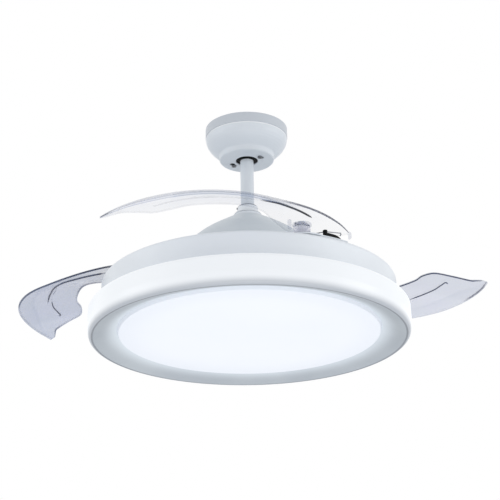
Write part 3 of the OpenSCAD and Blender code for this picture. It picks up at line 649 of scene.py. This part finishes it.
# %% [markdown]
# ## Lathe, loft and tube
# Most small pieces are one of three shapes. A post is lathed: half its outline is spun round an axis.
# A strip is lofted: rings of vertices are bridged and the ends are closed. A wire or a rim is a tube,
# which is a loft of circles along a line. A curve with a bevel could give the tube as well, but rings
# of our own let its radius change and carry a map along it.

# %% Lathe, loft and tube
DOME_INSET = 0.4
DOME_RISE = 0.3
MERGE_DIST = 1e-6


def lathe(bm, outline, place, steps):
    """Spins an outline of (radius, height) in millimetres round the upright axis of a place."""
    before = set(bm.verts)
    verts = [bm.verts.new((r * MM, 0, z * MM)) for r, z in outline]
    edges = [bm.edges.new(pair) for pair in zip(verts, verts[1:])]
    bmesh.ops.spin(bm, geom=verts + edges, cent=(0, 0, 0), axis=(0, 0, 1),
                   angle=2 * math.pi, steps=steps, use_merge=True)
    shell = [vert for vert in bm.verts if vert not in before]
    bmesh.ops.transform(bm, matrix=place, verts=shell)
    bmesh.ops.remove_doubles(bm, verts=shell, dist=MERGE_DIST)


def edges_of(ring):
    """The edges that run between vertices of one ring, each once."""
    return list(dict.fromkeys(e for v in ring for e in v.link_edges if all(v in ring for v in e.verts)))


def loft(bm, rings):
    """Bridges rings of vertices and closes both ends with a shallow dome."""
    for low, high in zip(rings, rings[1:]):
        bmesh.ops.bridge_loops(bm, edges=edges_of(low) + edges_of(high))
    for ring in (rings[0], rings[-1]):
        size = (ring[0].co - ring[len(ring) // 2].co).length / 2
        cap = bmesh.ops.contextual_create(bm, geom=ring)["faces"]
        bmesh.ops.inset_individual(bm, faces=cap, thickness=size * DOME_INSET, depth=size * DOME_RISE)


def tube(bm, points, radii, sides):
    """A round tube along points, in metres, with a map that runs from 0 to 1 along it."""
    rings = []
    last = len(points) - 1
    share = {}
    for i, point in enumerate(points):
        along = (points[min(i + 1, last)] - points[max(i - 1, 0)]).normalized()
        side = along.cross(Vector((0, 0, 1))).normalized()
        turn = Matrix((side, along.cross(side), along)).transposed().to_4x4()
        ring = bmesh.ops.create_circle(bm, segments=sides, radius=radii[i])["verts"]
        bmesh.ops.transform(bm, matrix=Matrix.Translation(point) @ turn, verts=ring)
        rings.append(ring)
        for vert in ring:
            share[vert] = i / last
    loft(bm, rings)
    uv = bm.loops.layers.uv.verify()
    for vert, part in share.items():
        for loop in vert.link_loops:
            loop[uv].uv = (part, 0)


# %% [markdown]
# ## The blades
# A blade is a wing-shaped sheet of clear plastic. Its outer edge is one long arc, and its inner edge
# waves in and out round a barb. The sheet starts flat at its pivot, rises along the arc and droops
# again towards the tip. A flat grid makes it: each row of the grid is a chord from the outer edge to
# the inner one, and each vertex is then lifted onto the curved surface. The chords and the surface are
# those of the CAD blade, apart from the last two chords, which make the tip a little blunter.

# %% The blade's shape
DRAWN_OPEN = 44
FULL_SWING = 130
BLADE_T = 3.0
FLAT_UNTIL = 20
CURVED_AFTER = 120
LEAN_ACROSS = 0.158
LEAN_ALONG = 0.235
BOW_ACROSS = 0.267
BOW_TWIST = 0.044
BOW_ALONG = 0.3
BOW_OVER = 300
CHORDS = [
    ((11, 74), (4, 75)), ((36, 45), (-14, 57)), ((60, 6), (-26, 25)), ((82, -34), (-23, -10)),
    ((98, -74), (-4, -44)), ((105, -112), (18, -74)), ((105, -146), (22, -104)),
    ((98, -178), (6, -146)), ((86, -206), (-13, -178)), ((68, -232), (-33, -196)),
    ((46, -255), (-47, -219)), ((20, -275), (-40, -246)), ((-6, -290), (-33, -273)),
    ((-26, -298.5), (-37, -284)), ((-39, -303.5), (-42, -294))]
OUTER = [outer for outer, _ in CHORDS]
INNER = [inner for _, inner in CHORDS]
LAST = len(CHORDS) - 1


def lift(u, v):
    """Height of the sheet's middle over its root, in millimetres."""
    s = max(0.0, min(1.0, (FLAT_UNTIL - v) / CURVED_AFTER))
    bow = (BOW_ACROSS * u * u + BOW_TWIST * u * v + BOW_ALONG * v * v) / BOW_OVER
    return s * s * (3 - 2 * s) * (-LEAN_ACROSS * u - LEAN_ALONG * v - bow)


def curve_through(points, t):
    """A smooth curve through all points. A whole t is a point, and between them it bends."""
    i = min(int(t), len(points) - 2)
    t = t - i
    a, b, c, d = (Vector(points[max(0, min(len(points) - 1, i + k))]) for k in (-1, 0, 1, 2))
    return (2 * b + (c - a) * t + (2 * a - 5 * b + 4 * c - d) * t ** 2
            + (3 * b - a - 3 * c + d) * t ** 3) / 2


print("blade length", -OUTER[-1][1], "mm, chords", len(CHORDS))

# %% [markdown]
# ## Where each blade stands
# A blade is drawn once, in millimetres, with its pivot at 0, 0. Each of the three gets a place: the
# spot of its joint, and a turn that adds how far it stands open. The frame's joints hold both, so the
# blades follow if the CAD model changes.

# %% Where each blade stands
BUSH_FOOT = 5
blade_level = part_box("bush_front")[0].z + BUSH_FOOT * MM
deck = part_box("blade_carrier")[1].z
joint_of = {joint["name"]: joint for joint in frame["joints"]}
NAMES = ("front", "right", "left")


def pivot_place(name, level):
    x, y, _ = joint_of[name + "_blade_swing"]["pos_m"]
    return Matrix.Translation((x, y, level)) @ Matrix.Rotation(math.atan2(y, x), 4, "Z")


def blade_place(name):
    opened = -joint_of[name + "_blade_swing"]["range_deg"][0]
    return pivot_place(name, blade_level) @ Matrix.Rotation(math.radians(opened - DRAWN_OPEN), 4, "Z")


def polar(radius, degrees, height=0.0):
    angle = math.radians(degrees)
    return Vector((radius * math.cos(angle), radius * math.sin(angle), height))


print("blade level", round(blade_level, 4), "carrier deck", round(deck, 4))

# %% [markdown]
# ## Stops for the swing
# Each blade swings until a lug under it meets a post, once when it is open and once when it is shut.
# Both posts and the lug lie on one circle round the pivot, so their directions follow from the swing
# and from how wide the post and the lug are.

# %% Stops for the swing
GAP = 0.3
STOP_R = 37.0
STOP_POST_R = 3.5
LUG_R = 3.0
POST_DIR = 40.6
STOP_ANGLE = 2 * math.degrees(math.asin((STOP_POST_R + LUG_R + GAP) / 2 / STOP_R))
LUG_DIR = POST_DIR - STOP_ANGLE - (FULL_SWING - DRAWN_OPEN)
SHUT_DIR = LUG_DIR - DRAWN_OPEN - STOP_ANGLE
print("lug and posts at", round(LUG_DIR, 1), POST_DIR, round(SHUT_DIR, 1), "degrees")

# %% [markdown]
# ## The sheet's skin
# The grid's first rows bend down at the heel and become a small tab, which stiffens the edge there. A
# second piece could be joined on, but one bent skin has no seam. A sine and a cosine carry each row
# round the bend, and each vertex keeps its bend, so the tab can get the sheet's thickness later.

# %% The sheet's skin
SPAN_CELLS = 132
CHORD_CELLS = 24
TAB_ROWS = 8
TAB_BEND = 2.5
TAB_DROP = 6.0
BEND_SHARE = 0.5


def on_blade(across, row):
    """A point of the sheet's top skin, and how far the skin has bent down there, in radians."""
    along = max(0, row - TAB_ROWS) / (SPAN_CELLS - TAB_ROWS)
    spot = curve_through(OUTER, along * LAST).lerp(curve_through(INNER, along * LAST), across)
    height = lift(spot.x, spot.y) + BLADE_T / 2
    tab = max(0, TAB_ROWS - row) / TAB_ROWS
    bend = min(1.0, tab / BEND_SHARE) * math.pi / 2
    drop = max(0.0, tab - BEND_SHARE) / (1 - BEND_SHARE) * TAB_DROP
    reach = TAB_BEND + BLADE_T / 2
    out = reach * math.sin(bend)
    down = reach * (1 - math.cos(bend)) + drop
    return Vector((spot.x, spot.y + out, height - down)), bend


def skin(bm, uv, bent):
    """A grid laid on the blade's top, with its map and its bend kept on each vertex."""
    bmesh.ops.create_grid(bm, x_segments=CHORD_CELLS, y_segments=SPAN_CELLS, size=0.5)
    for vert in bm.verts:
        across, row = vert.co.x + 0.5, (vert.co.y + 0.5) * SPAN_CELLS
        for loop in vert.link_loops:
            loop[uv].uv = (across, row / SPAN_CELLS)
        vert.co, vert[bent] = on_blade(across, round(row))


print("the tab hangs", round(on_blade(0, TAB_ROWS)[0].z - on_blade(0, 0)[0].z, 1), "mm below the heel")

# %% [markdown]
# ## The boss and the lug
# The sheet has a round boss at its pivot, with a skirt that hides the spring. Boss and sheet are one
# moulding, so the boss grows out of the sheet: the border of a round hole is extruded again and
# again, each time to a new radius and height. The lug is a cylinder with a rounded foot.

# %% The boss and the lug
BOSS_R = 13.0
BUSH_R = 6.5
BOSS_UP = 3.0
SKIRT_DOWN = 13.0
SKIRT_WALL = 1.5
BOSS_ROUND = 0.6
SKIRT_ROUND = 0.5
BOSS_RINGS = [
    (BOSS_R, BOSS_UP - BOSS_ROUND), (BOSS_R - BOSS_ROUND, BOSS_UP), (BUSH_R, BOSS_UP),
    (BUSH_R, -BUSH_FOOT), (BOSS_R - SKIRT_WALL, -BUSH_FOOT), (BOSS_R - SKIRT_WALL, -SKIRT_DOWN),
    (BOSS_R - SKIRT_ROUND, -SKIRT_DOWN), (BOSS_R, -SKIRT_DOWN + SKIRT_ROUND)]
LUG_TOP = 1.0
LUG_DROP = 15.0
LUG_ROUND = 0.8
LUG_SIDES = 20
FOOT_DEPTH = 0.1
CLOSE = 1e-4


def ring_on(bm, edges, radius, height):
    """Extrudes a border round the pivot to a new radius and height, and returns the new border."""
    grown = bmesh.ops.extrude_edge_only(bm, edges=edges)["geom"]
    for vert in [g for g in grown if isinstance(g, bmesh.types.BMVert)]:
        flat = Vector((vert.co.x, vert.co.y, 0)).normalized() * radius
        vert.co = Vector((flat.x, flat.y, height))
    return [g for g in grown if isinstance(g, bmesh.types.BMEdge) and all(
        abs(v.co.z - height) < CLOSE and abs(v.co.xy.length - radius) < CLOSE for v in g.verts)]


def grow_boss(bm, upper, lower):
    """Carries the upper border on, ring by ring, and joins it to the lower one."""
    for radius, height in BOSS_RINGS:
        upper = ring_on(bm, upper, radius, height)
    bmesh.ops.bridge_loops(bm, edges=upper + lower)


def add_lug(bm):
    height = LUG_DROP - LUG_TOP
    lug = bmesh.ops.create_cone(bm, cap_ends=True, segments=LUG_SIDES, radius1=LUG_R, radius2=LUG_R,
                                depth=height)["verts"]
    bmesh.ops.translate(bm, verts=lug, vec=polar(STOP_R, LUG_DIR, -height / 2 - LUG_TOP))
    foot = [e for e in bm.edges if all(v.co.z < FOOT_DEPTH - LUG_DROP and v in lug for v in e.verts)]
    bmesh.ops.bevel(bm, geom=foot, offset=LUG_ROUND, affect="EDGES", segments=3, profile=0.5, material=-1)


print("boss", 2 * BOSS_R, "mm across, in", len(BOSS_RINGS), "rings")

# %% [markdown]
# ## The clear sheets
# Sheet, boss, tab and lug now come together. Faces round the pivot are taken out, and the hole's
# border is pulled onto a circle. The whole skin is extruded by its thickness, which is a solidify
# that follows the bend of the tab, and the boss grows between the hole's two borders. The faces of the
# boss get a mark of their own on the map, which tells the finish that the plastic is thick there. The
# light falls on each blade in its own way, so each has its own two densities: one for the plain
# plastic and one for the raised band along its outer edge.

# %% The clear sheets
BOSS_MARK = (2, 0)
NEAR_BOSS = 1.4
SHEET_CREASE = 50


def blade_sheet(name, finish):
    bm = bmesh.new()
    uv = bm.loops.layers.uv.new("UVMap")
    bent = bm.verts.layers.float.new("bend")
    skin(bm, uv, bent)
    inside = [f for f in bm.faces if f.calc_center_median().xy.length < BOSS_R]
    bmesh.ops.delete(bm, geom=inside, context="FACES")
    for vert in bm.verts:
        if vert.is_boundary and vert.co.xy.length < BOSS_R * NEAR_BOSS:
            vert.co.xy = vert.co.xy.normalized() * BOSS_R
    grown = bmesh.ops.extrude_face_region(bm, geom=bm.faces[:], use_keep_orig=True)["geom"]
    for vert in [g for g in grown if isinstance(g, bmesh.types.BMVert)]:
        vert.co -= Vector((0, math.sin(vert[bent]), math.cos(vert[bent]))) * BLADE_T

    wall = [f for f in bm.faces if all(abs(v.co.xy.length - BOSS_R) < CLOSE for v in f.verts)]
    bmesh.ops.delete(bm, geom=wall, context="FACES_ONLY")
    border = [e for e in bm.edges if e.is_boundary]
    old = set(bm.faces)
    grow_boss(bm, [e for e in border if all(v.co.z > 0 for v in e.verts)],
              [e for e in border if all(v.co.z < 0 for v in e.verts)])
    for face in set(bm.faces) - old:
        for loop in face.loops:
            loop[uv].uv = BOSS_MARK

    add_lug(bm)
    bmesh.ops.scale(bm, verts=bm.verts, vec=(MM, MM, MM))
    bmesh.ops.transform(bm, matrix=blade_place(name), verts=bm.verts)
    return sharpen(piece("blade_sheet_" + name, bm, finish, name + "_blade",
                         ["blade_" + name]), SHEET_CREASE)


DENSITY = {"front": (0.06, 0.4), "right": (0.24, 0.26), "left": (0.36, 0.38)}
sheets = {name: blade_sheet(name, clear_sheet("clear_sheet_" + name, *DENSITY[name])) for name in NAMES}
print("sheet faces", len(sheets["front"].data.polygons))

# %% [markdown]
# ## Where rim and ribs run
# Looked at along the plastic, the rim is dark. A thin bead along the border gives that line, thicker
# on the outer edge. Two ribs stiffen the sheet: a long one that runs beside the outer edge, and a
# short one inside it that ends in a small hook. A faint link joins them. The rims follow the sheet's
# own border, and the ribs have a few points each, so that one smooth curve can pass through them. Each
# line has its points, its bead's radius, and its height over the middle of the sheet, in millimetres.

# %% Where rim and ribs run
RIB_LONG = [(43, -5), (50, -15), (61, -33), (71, -54), (79, -78), (75, -108), (63, -139),
            (50, -168), (36, -194)]
RIB_LINK = [(71, -110), (64, -122), (57, -138), (51, -154)]
RIB_SHORT = [(50, -156), (36, -181), (18, -205), (-2, -222), (-12, -230), (-8, -234)]
UNDER = -1.0
LINES = {"rim_outer": (OUTER, 1.5, 0.0), "rim_inner": (INNER, 1.2, 0.0),
         "rib_long": (RIB_LONG, 1.5, UNDER), "rib_link": (RIB_LINK, 0.8, UNDER),
         "rib_short": (RIB_SHORT, 1.1, UNDER)}
print("the rim and its ribs are", len(LINES), "lines")

# %% [markdown]
# ## The look of each line
# Plastic this clear shows its edges by what they reflect, and that differs from blade to blade. Real
# reflections would need a furnished room round the fan, and here it hangs in plain soft light. So each
# line of each blade gets a painted reflection: a colour, its dark windows, as shares of its length, and
# how dense it is within them and elsewhere. START and END lie beyond the line's own ends.

# %% The look of each line
SLATE = srgb(58, 62, 82)
NAVY = srgb(40, 43, 60)
INK = srgb(22, 23, 29)
SMOKE = srgb(104, 106, 118)
UMBER = srgb(112, 104, 110)
START = -1
END = 2
LOOKS = {
    "front": {
        "rim_outer": (SMOKE, [(START, 0.27), (0.92, END)], 0.8, 0.14),
        "rim_inner": (SMOKE, [], 0.1, 0.1),
        "rib_long": (INK, [(0.02, 0.58)], 1.0, 0.08),
        "rib_short": (SMOKE, [], 0.12, 0.12),
        "rib_link": (SMOKE, [], 0.1, 0.1)},
    "right": {
        "rim_outer": (UMBER, [(0.72, END)], 0.6, 0.05),
        "rim_inner": (SLATE, [(0.4, END)], 1.0, 0.55),
        "rib_long": (SMOKE, [], 0.05, 0.05),
        "rib_short": (SLATE, [(START, END)], 0.95, 0.95),
        "rib_link": (SMOKE, [], 0.05, 0.05)},
    "left": {
        "rim_outer": (NAVY, [(0.12, 0.56)], 1.0, 0.14),
        "rim_inner": (UMBER, [(0.34, 0.5), (0.84, 0.96)], 0.75, 0.2),
        "rib_long": (SLATE, [(0.1, 0.93)], 0.95, 0.3),
        "rib_short": (SLATE, [(0.25, 0.88)], 0.95, 0.1),
        "rib_link": (SLATE, [(0.5, END)], 0.4, 0.2)}}
print("looks:", sum(len(looks) for looks in LOOKS.values()))

# %% [markdown]
# ## Rims and ribs
# Each line becomes a tube that follows the blade's surface and thins out at both ends. A rim is drawn
# in by its own radius, so that it sits on the border and doesn't widen the blade. It rides on the
# blade's body with the sheet, and swings with it.

# %% Rims and ribs
POINTS_PER_CHORD = 12
BEAD_SIDES = 8
RIM_INSET = 0.2
END_SHARE = 0.3
END_GROWTH = 6


def bead(name, key):
    line, radius, above = LINES[key]
    other = INNER if line is OUTER else OUTER
    place = blade_place(name)
    count = POINTS_PER_CHORD * len(line)
    points = []
    radii = []
    for k in range(count + 1):
        spot = curve_through(line, k / count * (len(line) - 1))
        if key.startswith("rim"):
            inward = (curve_through(other, k / count * LAST) - spot).normalized()
            spot += inward * (radius + RIM_INSET)
        points.append(place @ (Vector((spot.x, spot.y, lift(spot.x, spot.y) + above)) * MM))
        radii.append(radius * MM * min(1.0, END_SHARE + END_GROWTH * min(k, count - k) / count))
    bm = bmesh.new()
    tube(bm, points, radii, BEAD_SIDES)
    finish = clear_edge(key + "_" + name, *LOOKS[name][key])
    return piece(key + "_" + name, bm, finish, name + "_blade")


beads = [bead(name, key) for name in NAMES for key in LINES]
print("rims and ribs:", len(beads))

# %% [markdown]
# ## Return springs
# Round each pivot post sits a coil of spring wire. It pulls the blade shut. One leg runs to the
# opening stop, rises a little, passes beside it and ends in a hook under the blade's heel. A Screw
# modifier could wind the coil, but not the leg. So the wire is one tube, along a line that a loop
# works out: the hook, the leg and then the helix.

# %% Return springs
WIRE_R = 0.8
COIL_R = 7.4
COIL_TURNS = 3
COIL_PITCH = 2.2
COLLAR_H = 7.8
TURN_POINTS = 24
LEG_REACH = (14, 58, 9.5)
LEG_RISE = 3
LEG_PIECES = 6
REACH_PIECES = 4
PASS_DIR = POST_DIR + 102
HOOK_END = (-3.4, 0.4, -3)
HOOK_BEND = (-2, 1.4, -1.2)
WIRE_SIDES = 10
coil_foot = COLLAR_H + GAP + WIRE_R
LEG_DIR = POST_DIR - math.degrees(math.acos(COIL_R / STOP_R))


def spring_line():
    """The wire's middle line in millimetres over the deck, from its hook to the coil's top."""
    beside = polar(STOP_R, POST_DIR, LEG_RISE) + polar(STOP_POST_R + WIRE_R + GAP, PASS_DIR)
    end = Vector(LEG_REACH)
    start = polar(COIL_R, LEG_DIR)
    line = [end + Vector(HOOK_END), end + Vector(HOOK_BEND), end]
    line += [end.lerp(beside, k / REACH_PIECES) for k in range(1, REACH_PIECES)] + [beside]
    for k in range(1, LEG_PIECES):
        flat = beside.lerp(start, k / LEG_PIECES)
        line.append(Vector((flat.x, flat.y, LEG_RISE * (1 - k / LEG_PIECES) ** 2)))
    for k in range(COIL_TURNS * TURN_POINTS + 1):
        turn = k / TURN_POINTS
        line.append(polar(COIL_R, LEG_DIR - 360 * turn, COIL_PITCH * turn))
    return [point + Vector((0, 0, coil_foot)) for point in line]


for name in NAMES:
    bm = bmesh.new()
    points = [pivot_place(name, deck) @ (point * MM) for point in spring_line()]
    tube(bm, points, [WIRE_R * MM] * len(points), WIRE_SIDES)
    piece("spring_wire_" + name, bm, wire, "rotor", ["spring_" + name])
print("spring points", len(spring_line()))

# %% [markdown]
# ## Rubber posts
# Two rubber posts stand beside each pivot and stop the blade's lug. Each is round, with a groove near
# its top, so half its outline says everything and a lathe makes it. All six are joined in one mesh,
# because they look alike and ride on the same body.

# %% Rubber posts
POST_H = 12.5
GROOVE_R = 3.0
POST_OUTLINE = [
    (0, POST_H), (2.2, POST_H), (3.1, POST_H - 0.4), (STOP_POST_R, POST_H - 1.2), (STOP_POST_R, 10.2),
    (GROOVE_R, 9.9), (GROOVE_R, 9.2), (STOP_POST_R, 8.9), (STOP_POST_R, 0.5), (3.2, 0), (0, 0)]
POST_STEPS = 24
POST_CREASE = 32

bm = bmesh.new()
for name in NAMES:
    for direction in (POST_DIR, SHUT_DIR):
        spot = Matrix.Translation(polar(STOP_R, direction) * MM)
        lathe(bm, POST_OUTLINE, pivot_place(name, deck) @ spot, POST_STEPS)
posts = piece("stop_buffers", bm, black, "rotor", ["stop_posts"])
sharpen(posts, POST_CREASE)
print("rubber posts:", 2 * len(NAMES), "with", len(posts.data.polygons), "faces")

# %% [markdown]
# ## Rubber strips
# A curved strip of rubber lies beside each opening stop. A bent box would do, but the real one gets
# lower and narrower towards its far end. So it is lofted: rounded rings stand along an arc round the
# fan's axis, each a little smaller than the one before.

# %% Rubber strips
STRIP_W = 5.0
STRIP_H = 8.5
STRIP_SPAN = 6.2
STRIP_TAPER = 0.15
STRIP_RINGS = 18
STRIP_SIDES = 16
SQUARENESS = 0.4
END_DIP = 0.9


def squared(x):
    """Bends a circle's coordinate, from -1 to 1, towards those of a rounded square."""
    return math.copysign(abs(x) ** SQUARENESS, x)


def rubber_strip(bm, name):
    hub_x, hub_y, _ = joint_of[name + "_blade_swing"]["pos_m"]
    hub_r = math.hypot(hub_x, hub_y) / MM
    reach = Vector((hub_r, 0, 0)) + polar(STOP_R, POST_DIR)
    radius = reach.length
    first = math.degrees(math.atan2(reach.y, reach.x) + math.asin((STOP_POST_R + GAP) / radius))
    turn = math.degrees(math.atan2(hub_y, hub_x))
    rings = []
    for k in range(STRIP_RINGS + 1):
        t = k / STRIP_RINGS
        high = STRIP_H * math.sqrt(1 - (END_DIP * t * t) ** 2)
        wide = STRIP_W * (1 - STRIP_TAPER * t)
        angle = turn + first + STRIP_SPAN * t
        ring = bmesh.ops.create_circle(bm, segments=STRIP_SIDES, radius=1)["verts"]
        for vert in ring:
            side = squared(vert.co.x) * wide / 2
            up = (squared(vert.co.y) + 1) * high / 2
            vert.co = polar(radius + side, angle, up) * MM + Vector((0, 0, deck))
        rings.append(ring)
    loft(bm, rings)


bm = bmesh.new()
for name in NAMES:
    rubber_strip(bm, name)
strips = piece("rubber_strips", bm, black, "rotor", ["stop_bumpers"])
print("rubber strips:", len(NAMES), "with", len(strips.data.polygons), "faces")

# %% [markdown]
# ## The floor
# The fan hangs about three metres over a pale floor. The floor throws light up at the underside, and
# it is wide enough that its far edge is never seen. To the camera alone it is nearly white, so that it
# goes over into the background without a line. A Mix Shader does that: it gives camera rays mostly a
# plain glow, and all other rays the floor's own paint.

# %% The floor
FLOOR_Z = -3.4
FLOOR_REACH = 300
SEEN_GLOW = 0.85
bm = bmesh.new()
bmesh.ops.create_grid(bm, x_segments=1, y_segments=1, size=FLOOR_REACH)
bmesh.ops.translate(bm, verts=bm.verts, vec=(0, 0, FLOOR_Z))
floor_mesh = bpy.data.meshes.new("floor")
bm.to_mesh(floor_mesh)
bm.free()
floor = bpy.data.objects.new("floor", floor_mesh)
bpy.context.scene.collection.objects.link(floor)
paint = Finish("pale_floor", Roughness=0.8)
paint.feed("Base Color", paint.mix(paint.noise(3), srgb(240, 240, 241), srgb(244, 244, 244)))
glow = paint.node("ShaderNodeEmission")
seen = paint.node("ShaderNodeLightPath", output="Is Camera Ray") * SEEN_GLOW
surface = paint.node("ShaderNodeMixShader", inputs=[seen, Value(paint, paint.shader.outputs[0]), glow])
paint.put(paint.tree.nodes["Material Output"].inputs["Surface"], surface)
floor_mesh.materials.append(paint.material)
print("floor", -FLOOR_Z, "m below the ceiling")

# %% [markdown]
# ## The air round the fan
# The background is white to the eye, to shiny metal and to clear plastic, but it lights the fan with
# less than that. One white world would light every side alike, and the round forms would look flat.
# The kind of ray tells which of the two a ray gets.

# %% The air round the fan
AIR = (0.7, 0.707, 0.721, 1)
WHITE_TO = ("Is Glossy Ray", "Is Transmission Ray", "Is Camera Ray")
world = bpy.data.worlds.new("studio")
bpy.context.scene.world = world
world.use_nodes = True
sky = Graph(world.node_tree)
glossy, through, camera_ray = (sky.node("ShaderNodeLightPath", output=ray) for ray in WHITE_TO)
sky.put(world.node_tree.nodes["Background"].inputs["Color"],
        sky.mix(camera_ray.most(glossy.most(through)), AIR, WHITE))
print("the air lights the fan with", AIR[0], "of white")

# %% [markdown]
# ## Soft lamps
# Much of the light comes from below, where a wide soft lamp throws it up, so the undersides are pale
# and the dome's upper side is the darkest. Two lamps at the sides draw the bright edges of the round
# forms, one behind lights the far side, and a weak one in front lifts the shadows. All of them are
# wide areas aimed at the fan's middle, because a wide lamp has soft shadows.

# %% Soft lamps
AIM = Vector((0, 0, -0.25))
LAMPS = {
    "lamp_left": ((-2.6, -0.6, -0.2), (1.4, 1.4), 8),
    "lamp_right": ((2.6, -0.6, -0.2), (1.4, 1.4), 12),
    "lamp_behind": ((0.2, 2.2, -2.4), (2.4, 1.2), 7),
    "lamp_below": ((0.2, -1.0, -2.9), (3.0, 3.0), 40),
    "lamp_front": ((0.2, -2.8, -1.9), (2.4, 1.2), 6)}
for name, (spot, size, watts) in LAMPS.items():
    lamp = bpy.data.lights.new(name, "AREA")
    lamp.shape = "RECTANGLE"
    lamp.size, lamp.size_y = size
    lamp.energy = watts
    made = bpy.data.objects.new(name, lamp)
    made.location = spot
    made.rotation_mode = "QUATERNION"
    made.rotation_quaternion = (AIM - Vector(spot)).to_track_quat("-Z", "Y")
    made.visible_camera = False
    bpy.context.scene.collection.objects.link(made)
print("lamps:", len(LAMPS), "with", sum(watts for _, _, watts in LAMPS.values()), "watts")
bpy.context.scene.view_settings.view_transform = "Standard"
